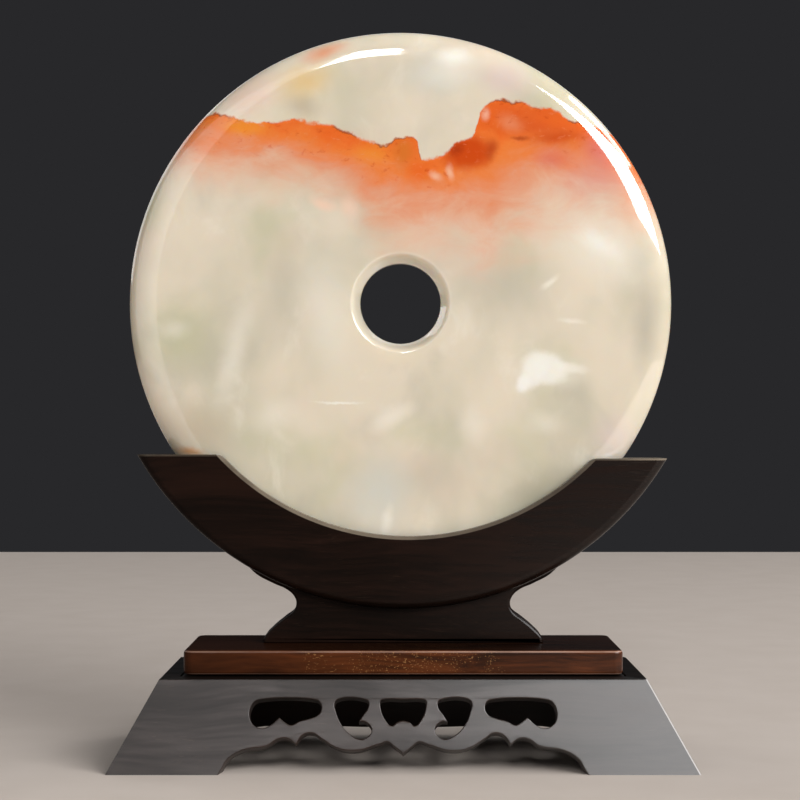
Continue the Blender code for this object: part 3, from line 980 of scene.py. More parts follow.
    def lay_vein(self, recipe: Recipe, frayed: object, stone: object, body: object) -> object:
        """Lay the orange vein on the body: a frayed upper edge, and a slow fade below it.

        Args:
            recipe: The material being mixed.
            frayed: Coordinates with a slight wobble.
            stone: Coordinates without it.
            body: The colour so far.

        Returns:
            The colour with the vein.
        """
        parts = recipe.split(frayed)
        across = recipe.calculate("MULTIPLY_ADD", parts["X"], 0.5, 0.5)
        edge = recipe.curve(across, [((u + 1) / 2, v) for u, v in self.vein_edge])
        reach = recipe.curve(across, [((u + 1) / 2, v) for u, v in self.vein_reach])
        bites = recipe.noise(stone, 30.0, 3.0, 0.6)
        edge = recipe.calculate("MULTIPLY_ADD", recipe.calculate("SUBTRACT", bites, 0.5), 0.035, edge)
        below = recipe.calculate("SUBTRACT", edge, parts["Z"])
        inside = recipe.fade(below, -0.004, 0.010)
        crest = recipe.curve(across, [((u + 1) / 2, v) for u, v in self.vein_crest])
        depth = recipe.calculate("DIVIDE", recipe.calculate("SUBTRACT", crest, parts["Z"]), reach)
        veils = recipe.noise(recipe.mapped(stone, scale=(1, 1, 1.8)), 5.0, 5.0, 0.6, 0.5)
        depth = recipe.calculate("MULTIPLY_ADD", recipe.calculate("SUBTRACT", veils, 0.5), 0.6, depth)
        colour = recipe.ramp(depth, [
            (0.0, Jade.DEEP_ORANGE.value),
            (0.14, Jade.ORANGE.value),
            (0.36, Jade.SALMON.value),
            (0.75, Jade.BLUSH.value),
        ])
        flat = recipe.combine_vectors("MULTIPLY", frayed, (1, 0, 1))
        colour = self.lay_patches(recipe, flat, colour, self.vein_patches())
        grain = recipe.noise(recipe.mapped(stone, scale=(1, 1, 1.5)), 26.0, 4.0, 0.65, 0.4)
        near_edge = recipe.fade(below, 0.04, 0.22, 1.0, 0.0)
        dark = recipe.calculate("MULTIPLY", recipe.fade(grain, 0.56, 0.72, 0.0, 0.6), near_edge)
        colour = recipe.mix(dark, colour, Jade.RED_ORANGE.value)
        light = recipe.calculate("MULTIPLY", recipe.fade(grain, 0.42, 0.28, 0.0, 0.5), near_edge)
        colour = recipe.mix(light, colour, Jade.SALMON.value)
        line = recipe.calculate("ABSOLUTE", recipe.calculate("SUBTRACT", below, 0.006))
        thin = recipe.fade(line, 0.002, 0.007, 1.0, 0.0)
        gaps = recipe.fade(recipe.noise(stone, 9.0, 2.0), 0.48, 0.62, 0.0, 0.75)
        colour = recipe.mix(recipe.calculate("MULTIPLY", thin, gaps), colour, Jade.BROWN_LINE.value)
        amount = recipe.fade(depth, 0.22, 1.0, 1.0, 0.0)
        amount = recipe.calculate("MULTIPLY", amount, inside)
        return recipe.mix(amount, body, colour)


class PaintedHighlight(Protocol):
    """Painted highlights along a piece's edges."""

    colour: Colour

    def share(self, recipe: Recipe) -> object:
        """Mark the painted highlights.

        Args:
            recipe: The material being mixed.

        Returns:
            How much of the lighter colour shows.
        """


@dataclass(frozen=True)
class BlockHighlightLines:
    """Painted highlight lines along a block's top and bottom edges."""

    bottom: float
    top: float
    edge: float
    colour: Colour
    strength: float = 0.75
    low_strength: float = 0.4
    top_inset: float = 0.45
    bottom_inset: float = 0.40
    full_width: float = 0.06
    faded_width: float = 0.22
    left_strength: float = 0.45

    def share(self, recipe: Recipe) -> object:
        """Mark the painted highlights.

        Args:
            recipe: The material being mixed.

        Returns:
            How much of the lighter colour shows.
        """
        height = recipe.split(recipe.place)["Z"]
        lines = []
        for level, strength in (
            (self.top - self.top_inset * self.edge, self.strength),
            (self.bottom + self.bottom_inset * self.edge, self.low_strength),
        ):
            away = recipe.calculate("ABSOLUTE", recipe.calculate("SUBTRACT", height, level))
            full = self.full_width * self.edge
            faded = self.faded_width * self.edge
            lines.append(recipe.fade(away, full, faded, strength, 0.0))
        # Patchy painted highlights, weaker towards the left, away from the lights
        painted_highlights = recipe.fade(recipe.noise(recipe.place, 70.0, 3.0), 0.25, 0.6, 0.45, 1.0)
        rightward = recipe.fade(recipe.split(recipe.place)["X"], -0.06, 0.05, self.left_strength, 1.0)
        painted_highlights = recipe.calculate("MULTIPLY", painted_highlights, rightward)
        return recipe.calculate("MULTIPLY", recipe.calculate("MAXIMUM", lines[0], lines[1]), painted_highlights)


@dataclass(frozen=True)
class CornerHighlightLine:
    """A painted highlight line up the base's right mitred corners."""

    reach: float
    lean: float
    width: float
    colour: Colour
    strength: float = 0.8
    softness: float = 0.3

    def share(self, recipe: Recipe) -> object:
        """Mark the painted highlight.

        Args:
            recipe: The material being mixed.

        Returns:
            How much of the lighter colour shows.
        """
        place = recipe.split(recipe.place)
        across = recipe.calculate("MULTIPLY_ADD", place["Z"], self.lean, place["X"])
        near = self.reach - self.width
        soft = self.softness * self.width
        return recipe.fade(across, near - soft, near + soft, 0.0, self.strength)


@dataclass(frozen=True)
class LipHighlights:
    """Painted highlights on the cradle: along the lip's arc and on the horns."""

    across: float
    height: float
    radius: float
    band: float
    left_top: float
    right_top: float
    colour: Colour
    strength: float = 0.85
    right_strength: float = 0.35
    left_horn_strength: float = 0.2
    right_horn_strength: float = 0.9
    lip_share: float = 0.85
    horn_share: float = 0.55
    fade_share: float = 0.15

    def share(self, recipe: Recipe) -> object:
        """Mark the painted highlights.

        Args:
            recipe: The material being mixed.

        Returns:
            How much of the lighter colour shows.
        """
        arm = recipe.combine_vectors("SUBTRACT", recipe.place, (self.across, 0, self.height))
        arm = recipe.combine_vectors("MULTIPLY", arm, (1, 0, 1))
        distance = recipe.combine_vectors("LENGTH", arm, (0, 0, 0))
        # Painted highlight along the lip's rounded arc, stronger on the left
        near = self.radius + self.lip_share * self.band
        lip = recipe.fade(distance, near, near + self.fade_share * self.band)
        place = recipe.split(recipe.place)
        lip_strength = recipe.fade(place["X"], -0.03, 0.045, self.strength, self.right_strength)
        lip = recipe.calculate("MULTIPLY", lip_strength, recipe.calculate("SUBTRACT", 1.0, lip))
        left = self.horn_line(recipe, place["Z"], self.left_top, self.left_horn_strength)
        right = self.horn_line(recipe, place["Z"], self.right_top, self.right_horn_strength)
        right = recipe.calculate("MULTIPLY", right, recipe.fade(place["X"], 0.058, 0.085, 0.3, 1.0))
        right = recipe.calculate("MULTIPLY", right, recipe.fade(place["X"], 0.0, 0.01))
        horns = recipe.calculate("MAXIMUM", left, right)
        painted_highlights = recipe.fade(recipe.noise(recipe.place, 90.0, 3.0), 0.25, 0.6, 0.5, 1.0)
        return recipe.calculate("MULTIPLY", recipe.calculate("MAXIMUM", lip, horns), painted_highlights)

    def horn_line(self, recipe: Recipe, height: object, top: float, strength: float) -> object:
        """Mark the painted highlight on the upper part of a horn's front edge.

        Args:
            recipe: The material being mixed.
            height: The height's socket.
            top: Height of the horn's top.
            strength: How much of the lighter colour shows.

        Returns:
            The mark.
        """
        start = top - self.horn_share * self.band
        return recipe.fade(height, start, start + self.fade_share * self.band, 0.0, strength)


# What a flat top looks like in the shade of what stands on it
SHADED_WAX = paint(8, 6, 5)


@dataclass(frozen=True)
class WoodFinish:
    """Dark, waxed hardwood with fine straight grain and open pores, and painted shade on its top and
    towards its left where asked for.
    """

    name: str
    dark: Colour
    light: Colour
    pore: Colour
    pore_share: float
    roughness: float
    shine: float = 0.5
    right_shine: float | None = None
    refraction: float = 1.5
    # Height above which the top gets painted shade in its colour and less shine
    shade_and_dull_above: float | None = None
    pore_run: float = 14.0
    pores_within: float | None = None
    # How strongly the left side is painted darker, as shade
    left_painted_shade: float = 0.0
    relief: float = 0.12
    grain_turn: tuple[float, float, float] = (0, 0, 0)
    # How the top's painted shade and lower shine fade in, and how strong they are
    top_colour_fade: float = 0.0002
    top_shine_fade: float = 0.0003
    top_dark: float = 0.85
    top_shine: float = 0.15
    pore_height: float = 0.00025

    def mix(self, highlights: PaintedHighlight | None = None) -> bpy.types.Material:
        """Mix the material.

        Args:
            highlights: Painted highlights along edges, if any.

        Returns:
            The wood.
        """
        recipe = Recipe(self.name)
        along = recipe.mapped(recipe.place, turn=self.grain_turn, scale=(8, 90, 90))
        wave = recipe.noise(recipe.place, 14.0, 2.0, 0.5, coloured=True)
        along = recipe.combine_vectors("ADD", along, recipe.combine_vectors("SCALE", wave, 1.2))
        figure = recipe.noise(along, 1.0, 5.0, 0.6, 0.3)
        fibres = recipe.noise(recipe.mapped(along, scale=(4, 9, 9)), 1.0, 3.0, 0.6)
        tone = recipe.calculate("MULTIPLY_ADD", fibres, 0.35, recipe.calculate("MULTIPLY", figure, 0.75))
        colour = recipe.mix(recipe.fade(tone, 0.38, 0.72), self.dark, self.light)
        pores = recipe.noise(recipe.mapped(along, scale=(self.pore_run, 26, 26)), 1.0, 2.0, 0.5)
        crowd = recipe.noise(recipe.place, 60.0, 2.0)
        if self.pores_within is not None:
            away = recipe.calculate("ABSOLUTE", recipe.split(recipe.place)["X"])
            inner = recipe.fade(away, 0.6 * self.pores_within, self.pores_within, 0.12, -0.25)
            crowd = recipe.calculate("ADD", crowd, inner)
        limit = recipe.fade(crowd, 0.35, 0.65, 0.80, 0.62)
        edge = recipe.calculate("ADD", limit, 0.05)
        open_pores = recipe.fade(pores, limit, edge, 0.0, self.pore_share)
        colour = recipe.mix(open_pores, colour, self.pore)
        # Painted shade on the top face
        if self.shade_and_dull_above is not None:
            height = recipe.split(recipe.place)["Z"]
            start = self.shade_and_dull_above - self.top_colour_fade
            shade = recipe.fade(height, start, self.shade_and_dull_above, 0.0, self.top_dark)
            colour = recipe.mix(shade, colour, SHADED_WAX)
        # Painted shade: darker towards the left, away from the lights
        if self.left_painted_shade > 0:
            across = recipe.split(recipe.place)["X"]
            shade = recipe.fade(across, -0.07, 0.0, self.left_painted_shade, 0.0)
            colour = recipe.mix(shade, colour, self.dark)
        # Painted highlights along the edges
        if highlights is not None:
            colour = recipe.mix(highlights.share(recipe), colour, highlights.colour)
        recipe.plug(colour, recipe.shader.inputs["Base Color"])
        recipe.shader.inputs["IOR"].default_value = self.refraction
        recipe.plug(self.wax(recipe), recipe.shader.inputs["Specular IOR Level"])
        gloss = recipe.fade(tone, 0.3, 0.75, self.roughness * 1.25, self.roughness * 0.8)
        recipe.plug(gloss, recipe.shader.inputs["Roughness"])
        recipe.emboss(recipe.calculate("SUBTRACT", tone, open_pores), self.relief, self.pore_height)
        return recipe.material

    def wax(self, recipe: Recipe) -> object:
        """Spread the wax: more towards the right, and little on top.

        Args:
            recipe: The material being mixed.

        Returns:
            The shine, as one value or a pattern.
        """
        place = recipe.split(recipe.place)
        shine = self.shine
        if self.right_shine is not None:
            shine = recipe.fade(place["X"], -0.02, 0.085, shine, self.right_shine)
        # Less shine on the top, which also gets painted shade
        if self.shade_and_dull_above is not None:
            start = self.shade_and_dull_above - self.top_shine_fade
            top = recipe.fade(place["Z"], start, self.shade_and_dull_above, 1.0, self.top_shine)
            shine = recipe.calculate("MULTIPLY", top, shine)
        return shine


@dataclass
class JadeDisc:
    """The jade ring disc, upright on its rim in the cradle's groove."""

    radius: float = DISC_RADIUS
    thickness: float = 0.014
    hole_radius: float = 0.0133
    rim_inward: float = 0.0095
    rim_deep: float = 0.0055
    hole_outward: float = 0.0030
    hole_deep: float = 0.0052
    hole_profile: float = 0.31
    support: float = 0.0004
    rim_steps: int = 14
    hole_steps: int = 12
    tolerance: float = 0.0003
    flat_limit: float = 0.9999
    smooth_angle: float = 50.0
    sides: int = 256
    finish: JadeFinish = field(default_factory=JadeFinish)

    def build(self) -> Workpiece:
        """Turn the disc: a drum, bored through, with an elliptic rounding on rim and hole.

        Returns:
            The disc.
        """
        disc = Workpiece.drum("polished_disc", self.radius, self.thickness, DISC_CENTRE, self.sides)
        with disc.editing():
            disc.choose(Choice.FACES, self.is_flat)
            bpy.ops.mesh.inset(thickness=self.radius - self.hole_radius, use_individual=True)
            bpy.ops.mesh.bridge_edge_loops()
            bpy.ops.mesh.select_all(action="SELECT")
            bpy.ops.mesh.normals_make_consistent(inside=False)
        self.round_over(disc, self.radius, self.rim_inward, self.rim_deep, self.rim_steps, 0.5)
        self.round_over(
            disc, self.hole_radius, self.hole_outward, self.hole_deep, self.hole_steps, self.hole_profile
        )
        with disc.editing():
            disc.choose(Choice.FACES, self.is_flat)
            bpy.ops.mesh.inset(thickness=self.support, use_boundary=True, use_even_offset=True)
            bpy.ops.mesh.select_all(action="SELECT")
            bpy.ops.mesh.normals_make_consistent(inside=False)
        disc.polish(self.smooth_angle)
        return disc

    def is_flat(self, face: bmesh.types.BMFace) -> bool:
        """Tell whether a face is part of the disc's flat front or back."""
        return abs(face.normal.y) > self.flat_limit

    def round_over(
        self,
        disc: Workpiece,
        radius: float,
        sideways: float,
        deep: float,
        segments: int,
        profile: float,
    ) -> None:
        """Round both circles at a radius, further along the face than into the thickness.

        Args:
            disc: The disc.
            radius: Radius of the two circles.
            sideways: Width of the rounding on the face.
            deep: Its depth into the thickness.
            segments: Steps in the rounding.
            profile: Shape of the rounding, 0.5 for a round one.
        """
        half = self.thickness / 2 * sideways / deep

        def on_circle(edge: bmesh.types.BMEdge) -> bool:
            """Tell whether an edge is part of one of the two circles."""
            if abs(edge.verts[0].co.y - edge.verts[1].co.y) > WELD_DISTANCE:
                return False
            for corner in edge.verts:
                arm = corner.co - DISC_CENTRE
                if abs(math.hypot(arm.x, arm.z) - radius) > self.tolerance:
                    return False
                if abs(abs(arm.y) - half) > self.tolerance:
                    return False
            return True

        self.stretch(disc, sideways / deep)
        disc.ease_edges(on_circle, sideways, segments, profile)
        self.stretch(disc, deep / sideways)

    def stretch(self, disc: Workpiece, times: float) -> None:
        """Stretch the disc along its axis about its middle.

        Args:
            disc: The disc.
            times: How much.
        """
        with disc.editing():
            bpy.ops.mesh.select_all(action="SELECT")
            bpy.ops.transform.resize(value=(1, times, 1), center_override=DISC_CENTRE)

    def dress(self, disc: Workpiece) -> None:
        """Give the disc its finish and its place in the frame."""
        disc.deliver("jade", self.finish.mix(), "jade_disc")


@dataclass
class Cradle:
    """Crescent that grips the disc, and the thinner foot board below it, cut in one."""

    rim_radius: float = 0.1008
    thickness: float = 0.022
    setback: float = 0.004
    centre_height: float = 0.1490
    edge_round: float = 0.003
    left_top: float = 0.0990
    right_top: float = 0.0977
    horn_corner: float = 0.0016
    lip_radius: float = 0.084
    lip_shift: float = 0.0017
    lip_centre_height: float = 0.1562
    lip_steps: int = 24
    lip_round: float = 0.0012
    lip_round_steps: int = 2
    lip_round_angle: float = 40.0
    edge_steps: int = 6
    groove_radius: float = 0.0903
    groove_width: float = 0.0146
    foot_bottom: float = 0.0371
    foot_width: float = 0.0926
    foot_thickness: float = 0.013
    foot_round: float = 0.0011
    neck_width: float = 0.0706
    neck_height: float = 0.0129
    neck_round: float = 0.0035
    sides: int = 256
    # Colour of the painted highlights on the lip and the horns
    highlight_colour: Colour = paint(136, 124, 108)
    finish: WoodFinish = WoodFinish(
        name="dark_waxed_wood_cradle",
        dark=paint(17, 11, 8),
        light=paint(34, 21, 16),
        pore=paint(50, 36, 28),
        pore_share=0.3,
        roughness=0.26,
        shine=0.05,
        right_shine=0.35,
    )

    def build(self) -> Workpiece:
        """Cut the cradle from a drum, and join the foot board to it.

        Returns:
            The cradle.
        """
        middle = Vector((0, self.setback, self.centre_height))
        cradle = Workpiece.drum("crescent_cradle", self.rim_radius, self.thickness, middle, self.sides)
        cradle.ease_edges(self.is_rim, self.edge_round, self.edge_steps)
        stand_up = Matrix.Translation((0, self.setback, 0)) @ Matrix.Rotation(math.radians(90), 4, "X")
        opening = Workpiece.sawn(
            "opening", [self.opening_outline()], self.thickness + CUT_OVERSHOOT, stand_up
        )
        cradle.combine(opening, Cut.REMOVE)
        groove = Workpiece.drum("groove", self.groove_radius, self.groove_width, DISC_CENTRE, self.sides)
        cradle.combine(groove, Cut.REMOVE)
        cradle.weld()
        cradle.soften(self.lip_round, self.lip_round_steps, self.lip_round_angle)
        foot = Workpiece.sawn(
            "foot", [self.foot_outline()], self.foot_thickness, stand_up, self.foot_round
        )
        cradle.combine(foot, Cut.JOIN)
        cradle.weld()
        cradle.polish()
        return cradle

    def is_rim(self, edge: bmesh.types.BMEdge) -> bool:
        """Tell whether an edge of the blank is part of its front or back circle."""
        first, second = edge.verts
        return abs(first.co.y - second.co.y) < WELD_DISTANCE

    def horn_outline(self, side: int, top: float) -> Outline:
        """Draw the opening over one horn: its flat top and its blunt inner corner.

        Args:
            side: 1 for the right horn and -1 for the left.
            top: Height of the horn's top.

        Returns:
            Points from the outside in. The last is where the lip's arc starts.
        """
        reach = self.rim_radius + CUT_OVERSHOOT
        lip_across = math.sqrt(self.lip_radius**2 - (self.lip_centre_height - top) ** 2)
        arc_start = lip_across - self.horn_corner / 2
        edge = side * self.lip_shift + lip_across
        arc_height = circle_height(self.lip_centre_height, self.lip_radius, arc_start)
        points = [
            (reach, self.centre_height + reach, SHARP),
            (reach, top, SHARP),
            (edge + self.horn_corner, top, SHARP),
            (edge + self.horn_corner * 0.2, top - self.horn_corner * 0.16, SMOOTH),
            (side * self.lip_shift + arc_start, arc_height, SMOOTH),
        ]
        return points if side > 0 else mirrored(points)

    def opening_outline(self) -> Outline:
        """Draw what is cut away over the crescent: horn tops, blunt corners and the lip's arc.

        Returns:
            The closed outline.
        """
        right = self.horn_outline(1, self.right_top)
        left = self.horn_outline(-1, self.left_top)
        start = right[-1][0] - self.lip_shift
        end = left[0][0] - self.lip_shift
        middle = (start + end) / 2
        arc = []
        for step in range(1, self.lip_steps):
            across = middle + (start - middle) * math.cos(math.pi * step / self.lip_steps)
            height = circle_height(self.lip_centre_height, self.lip_radius, across)
            arc.append((self.lip_shift + across, height, SMOOTH))
        return right + arc + left

    def foot_outline(self) -> Outline:
        """Draw the foot board: flat bottom, flared ends and a rounded neck.

        Returns:
            The closed outline.
        """
        foot = self.foot_width / 2
        neck = self.neck_width / 2
        neck_height = self.foot_bottom + self.neck_height
        flare = foot - neck
        join = foot + 0.6 * flare
        inside = self.rim_radius - self.edge_round / 4
        join_height = circle_height(self.centre_height, inside, join)
        right = [
            (foot, self.foot_bottom, SHARP),
            (foot - 0.04 * flare, self.foot_bottom + 0.12 * self.neck_height, SMOOTH),
            (foot - 0.27 * flare, self.foot_bottom + 0.34 * self.neck_height, SMOOTH),
            (neck + 0.38 * flare, self.foot_bottom + 0.59 * self.neck_height, SMOOTH),
            (neck + 0.07 * flare, self.foot_bottom + 0.81 * self.neck_height, SMOOTH),
            (neck, neck_height, SMOOTH),
            (neck + 0.07 * flare, neck_height + 0.63 * self.neck_round, SMOOTH),
            (neck + 0.26 * flare, neck_height + 1.2 * self.neck_round, SMOOTH),
            (neck + 0.71 * flare, neck_height + 1.86 * self.neck_round, SMOOTH),
            (foot + 0.22 * flare, neck_height + 2.75 * self.neck_round, SMOOTH),
            (join, join_height, SHARP),
            (neck, join_height, SHARP),
        ]
        return right + mirrored(right)

    def dress(self, cradle: Workpiece) -> None:
        """Give the cradle its finish and its place in the frame."""
        highlights = LipHighlights(
            across=self.lip_shift,
            height=self.lip_centre_height,
            radius=self.lip_radius,
            band=self.lip_round,
            left_top=self.left_top,
            right_top=self.right_top,
            colour=self.highlight_colour,
        )
        cradle.deliver("dark_wood", self.finish.mix(highlights), "cradle")


@dataclass
class Plinth:
    """Low red-brown block with rounded corners and edges, between the base and the foot."""

    width: float = 0.1408
    depth: float = 0.043
    bottom: float = 0.0287
    top: float = 0.0368
    corner_round: float = 0.003
    edge_round: float = 0.0013
    corner_steps: int = 8
    edge_steps: int = 5
    # Colour of the painted highlight lines on the edges
    highlight_colour: Colour = paint(190, 156, 138)
    finish: WoodFinish = WoodFinish(
        name="red_brown_waxed_wood",
        dark=paint(38, 19, 10),
        light=paint(100, 52, 26),
        pore=paint(186, 136, 84),
        pore_share=0.55,
        roughness=0.25,
        shine=0.05,
        right_shine=0.3,
        pore_run=150.0,
        pores_within=0.044,
        left_painted_shade=0.7,
        shade_and_dull_above=0.0367,
    )

    def build(self) -> Workpiece:
        """Shape the block.

        Returns:
            The plinth.
        """
        size = Vector((self.width, self.depth, self.top - self.bottom))
        plinth = Workpiece.block("plinth_block", size, Vector((0, 0, (self.top + self.bottom) / 2)))
        plinth.ease_edges(self.is_upright, self.corner_round, self.corner_steps)
        plinth.ease_edges(self.is_outer_level, self.edge_round, self.edge_steps)
        plinth.polish()
        return plinth

    def is_upright(self, edge: bmesh.types.BMEdge) -> bool:
        """Tell whether an edge runs up the block."""
        return abs(edge.verts[0].co.z - edge.verts[1].co.z) > WELD_DISTANCE

    def is_outer_level(self, edge: bmesh.types.BMEdge) -> bool:
        """Tell whether an edge runs level round the block's top or bottom."""
        return not self.is_upright(edge)

    def dress(self, plinth: Workpiece) -> None:
        """Give the plinth its finish and its place in the frame."""
        painted_highlights = BlockHighlightLines(self.bottom, self.top, self.edge_round, self.highlight_colour)
        plinth.deliver("red_brown_wood", self.finish.mix(painted_highlights), "plinth")


@dataclass
class SplayedBase:
    """Four mitred, sloping boards round a top panel. The front one is pierced and scalloped."""

    bottom_width: float = 0.1852
    top_width: float = 0.1542
    bottom_depth: float = 0.075
    top_depth: float = 0.055
    height: float = 0.0284
    wall: float = 0.006
    panel_thickness: float = 0.005
    joint_gap: float = 0.0003
    fret_half_span: float = 0.0482
    front_arch: float = 0.0575
    back_arch: float = 0.060
    back_arch_height: float = 0.0052
    side_arch: float = 0.021
    side_arch_height: float = 0.0085
    fret_round: float = 0.0004
    edge_round: float = 0.0005
    edge_steps: int = 3
    panel_edge_steps: int = 2
    # Colour of the painted highlight up the right corners
    highlight_colour: Colour = paint(206, 200, 198)
    finish: WoodFinish = WoodFinish(
        name="dark_waxed_wood_base",
        dark=paint(24, 16, 12),
        light=paint(44, 30, 24),
        pore=paint(70, 56, 46),
        pore_share=0.3,
        roughness=0.42,
        shine=0.3,
        right_shine=1.0,
        refraction=1.75,
        shade_and_dull_above=0.0283,
    )
    end_finish: WoodFinish = WoodFinish(
        name="dark_waxed_wood_base_ends",
        dark=paint(24, 16, 12),
        light=paint(44, 30, 24),
        pore=paint(70, 56, 46),
        pore_share=0.3,
        roughness=0.42,
        shine=0.3,
        shade_and_dull_above=0.0283,
        grain_turn=(0, 0, 90),
    )

    def build(self) -> dict[str, Workpiece]:
        """Make the four boards and the panel.

        Returns:
            The pieces by the name of the CAD node that each stands for.
        """
        long_half = self.bottom_width / 2
        long_slope = (self.bottom_depth - self.top_depth) / 2
        short_half = self.bottom_depth / 2
        short_slope = (self.bottom_width - self.top_width) / 2
        front = self.sawn_board(
            "pierced_front", FRONT_EDGE, self.front_arch, self.height, self.frets(),
            long_half, short_half, long_slope, short_slope,
        )
        back = self.sawn_board(
            "back_board", BACK_EDGE, self.back_arch, self.back_arch_height, [],
            long_half, short_half, long_slope, short_slope,
        )
        left = self.sawn_board(
            "left_end_board", SIDE_EDGE, self.side_arch, self.side_arch_height, [],
            short_half, long_half, short_slope, long_slope,
        )
        right = self.sawn_board(
            "right_end_board", SIDE_EDGE, self.side_arch, self.side_arch_height, [],
            short_half, long_half, short_slope, long_slope,
        )
        self.turn(back, 180)
        self.turn(left, -90)
        self.turn(right, 90)
        return {
            "apron_front": front,
            "apron_back": back,
            "apron_left": left,
            "apron_right": right,
            "base_top": self.build_panel(),
        }

    def frets(self) -> list[Outline]:
        """Draw the five pierced shapes.

        Returns:
            Their closed outlines.
        """
        outlines = [both_halves(scaled(MIDDLE_FRET, self.fret_half_span, self.height))]
        for shares in (COMMA_FRET, LONG_FRET):
            right = scaled(shares, self.fret_half_span, self.height)
            outlines.append(right)
            outlines.append(mirrored(right))
        return outlines

    def sawn_board(
        self,
        name: str,
        edge: Outline,
        arch_span: float,
        arch_height: float,
        holes: list[Outline],
        half_length: float,
        half_across: float,
        slope: float,
        end_slope: float,
    ) -> Workpiece:
        """Saw one board flat, lean it back, and trim its top, its feet and its mitred ends.

        Args:
            name: The piece's name.
            edge: Right half of the lower edge, in shares.
            arch_span: Half span of the lower edge's arch.
            arch_height: Height that the edge's shares are taken of.
            holes: Outlines of what is pierced, by height above the ground.
            half_length: Half of the base's bottom length along the board.
            half_across: Half of the base's bottom size across the board.
            slope: How far the board leans in over its height.
            end_slope: How far its ends lean in over its height.

        Returns:
            The board, facing -Y.
        """
        lean = math.atan2(slope, self.height)
        thickness = self.wall * math.cos(lean)
        along_face = 1 / math.cos(lean)
        reach = half_length + CUT_OVERSHOOT
        right = scaled(edge, arch_span, arch_height * along_face)
        right.append((arch_span, -CUT_OVERSHOOT, SHARP))
        right.append((reach, -CUT_OVERSHOOT, SHARP))
        right.append((reach, self.height * along_face + CUT_OVERSHOOT, SHARP))
        board_outline = right + mirrored(right)[:-1] if right[0][0] == 0 else right + mirrored(right)
        tilted = [scaled(hole, 1, along_face) for hole in holes]
        turn = math.radians(90) - lean
        place = Matrix.Translation((
            0,
            -half_across + thickness / 2 * math.sin(turn),
            -thickness / 2 * math.cos(turn),
        )) @ Matrix.Rotation(turn, 4, "X")
        board = Workpiece.sawn(name, [board_outline] + tilted, thickness, place, self.fret_round)
        board.slice(Vector((0, 0, 0)), Vector((0, 0, -1)))
        board.slice(Vector((0, 0, self.height)), Vector((0, 0, 1)))
        corner = Vector((half_length, -half_across, 0))
        up_the_corner = Vector((-end_slope, slope, self.height))
        inwards = Vector((-1, 1, 0))
        away = inwards.cross(up_the_corner).normalized()
        if away.x < 0:
            away = -away
        gap = away * (self.joint_gap / 8)
        board.slice(corner - gap, away)
        mirror = Vector((-1, 1, 1))
        board.slice((corner - gap) * mirror, away * mirror)

        def is_eased(edge: bmesh.types.BMEdge) -> bool:
            """Tell whether an edge is the top outer one or runs up a mitred corner."""
            if self.is_trimmed_edge(edge):
                return True
            for end in edge.verts:
                arm = Vector((abs(end.co.x), end.co.y, end.co.z)) - corner
                if arm.cross(up_the_corner.normalized()).length > 10 * WELD_DISTANCE:
                    return False
            return True

        board.ease_edges(is_eased, self.edge_round, self.edge_steps)
        board.weld()
        board.polish()
        return board

    def is_trimmed_edge(self, edge: bmesh.types.BMEdge) -> bool:
        """Tell whether an edge lies along the top of a board's outer face."""
        heights = [corner.co.z for corner in edge.verts]
        if min(heights) < self.height - WELD_DISTANCE:
            return False
        return edge.calc_length() > self.top_depth / 2 and all(
            abs(corner.co.y) > self.top_depth / 2 - self.wall / 2 for corner in edge.verts
        )

    def turn(self, board: Workpiece, angle: float) -> None:
        """Turn a finished board about the base's middle, to its own side.

        Args:
            board: The board, facing -Y.
            angle: The turn in degrees.
        """
        board.take_up()
        board.item.matrix_world = Matrix.Rotation(math.radians(angle), 4, "Z")
        bpy.ops.object.transform_apply(location=True, rotation=True, scale=True)

    def build_panel(self) -> Workpiece:
        """Make the top panel, let in flush between the boards.

        Returns:
            The panel.
        """
        inset = self.wall + self.joint_gap
        size = Vector((
            self.top_width - 2 * inset,
            self.top_depth - 2 * inset,
            self.panel_thickness,
        ))
        middle = Vector((0, 0, self.height - self.panel_thickness / 2))
        panel = Workpiece.block("top_panel", size, middle)
        panel.ease_edges(self.is_top_edge, self.edge_round / 2, self.panel_edge_steps)
        panel.polish()
        return panel

    def is_top_edge(self, edge: bmesh.types.BMEdge) -> bool:
        """Tell whether an edge lies in the top of the base."""
        return all(corner.co.z > self.height - WELD_DISTANCE for corner in edge.verts)

    def dress(self, pieces: dict[str, Workpiece]) -> None:
        """Give the boards and the panel their finish and their place in the frame."""
        lean = (self.bottom_width - self.top_width) / 2 / self.height
        corner = CornerHighlightLine(self.bottom_width / 2, lean, self.edge_round, self.highlight_colour)
        long_grain = self.finish.mix(corner)
        end_grain = self.end_finish.mix()
        for node, piece in pieces.items():
            wood = end_grain if node in ("apron_left", "apron_right") else long_grain
            piece.deliver("dark_wood", wood, node)


@dataclass(frozen=True)
class SoftLight:
    """A soft box that faces the object."""

    name: str
    azimuth: float
    elevation: float
    distance: float
    width: float
    height: float
    power: float

    def hang(self, target: Vector) -> None:
        """Hang the light and point it at the object.

        Args:
            target: Where it points.
        """
        turn = math.radians(self.azimuth)
        rise = math.radians(self.elevation)
        arm = Vector((
            math.sin(turn) * math.cos(rise),
            -math.cos(turn) * math.cos(rise),
            math.sin(rise),
        ))
        light = bpy.data.lights.new(self.name, "AREA")
        light.shape = "RECTANGLE"
        light.size = self.width
        light.size_y = self.height
        light.energy = self.power
        item = bpy.data.objects.new(self.name, light)
        bpy.context.scene.collection.objects.link(item)
        item.location = target + arm * self.distance
        item.rotation_euler = (-arm).to_track_quat("-Z", "Y").to_euler()
        item.visible_camera = False


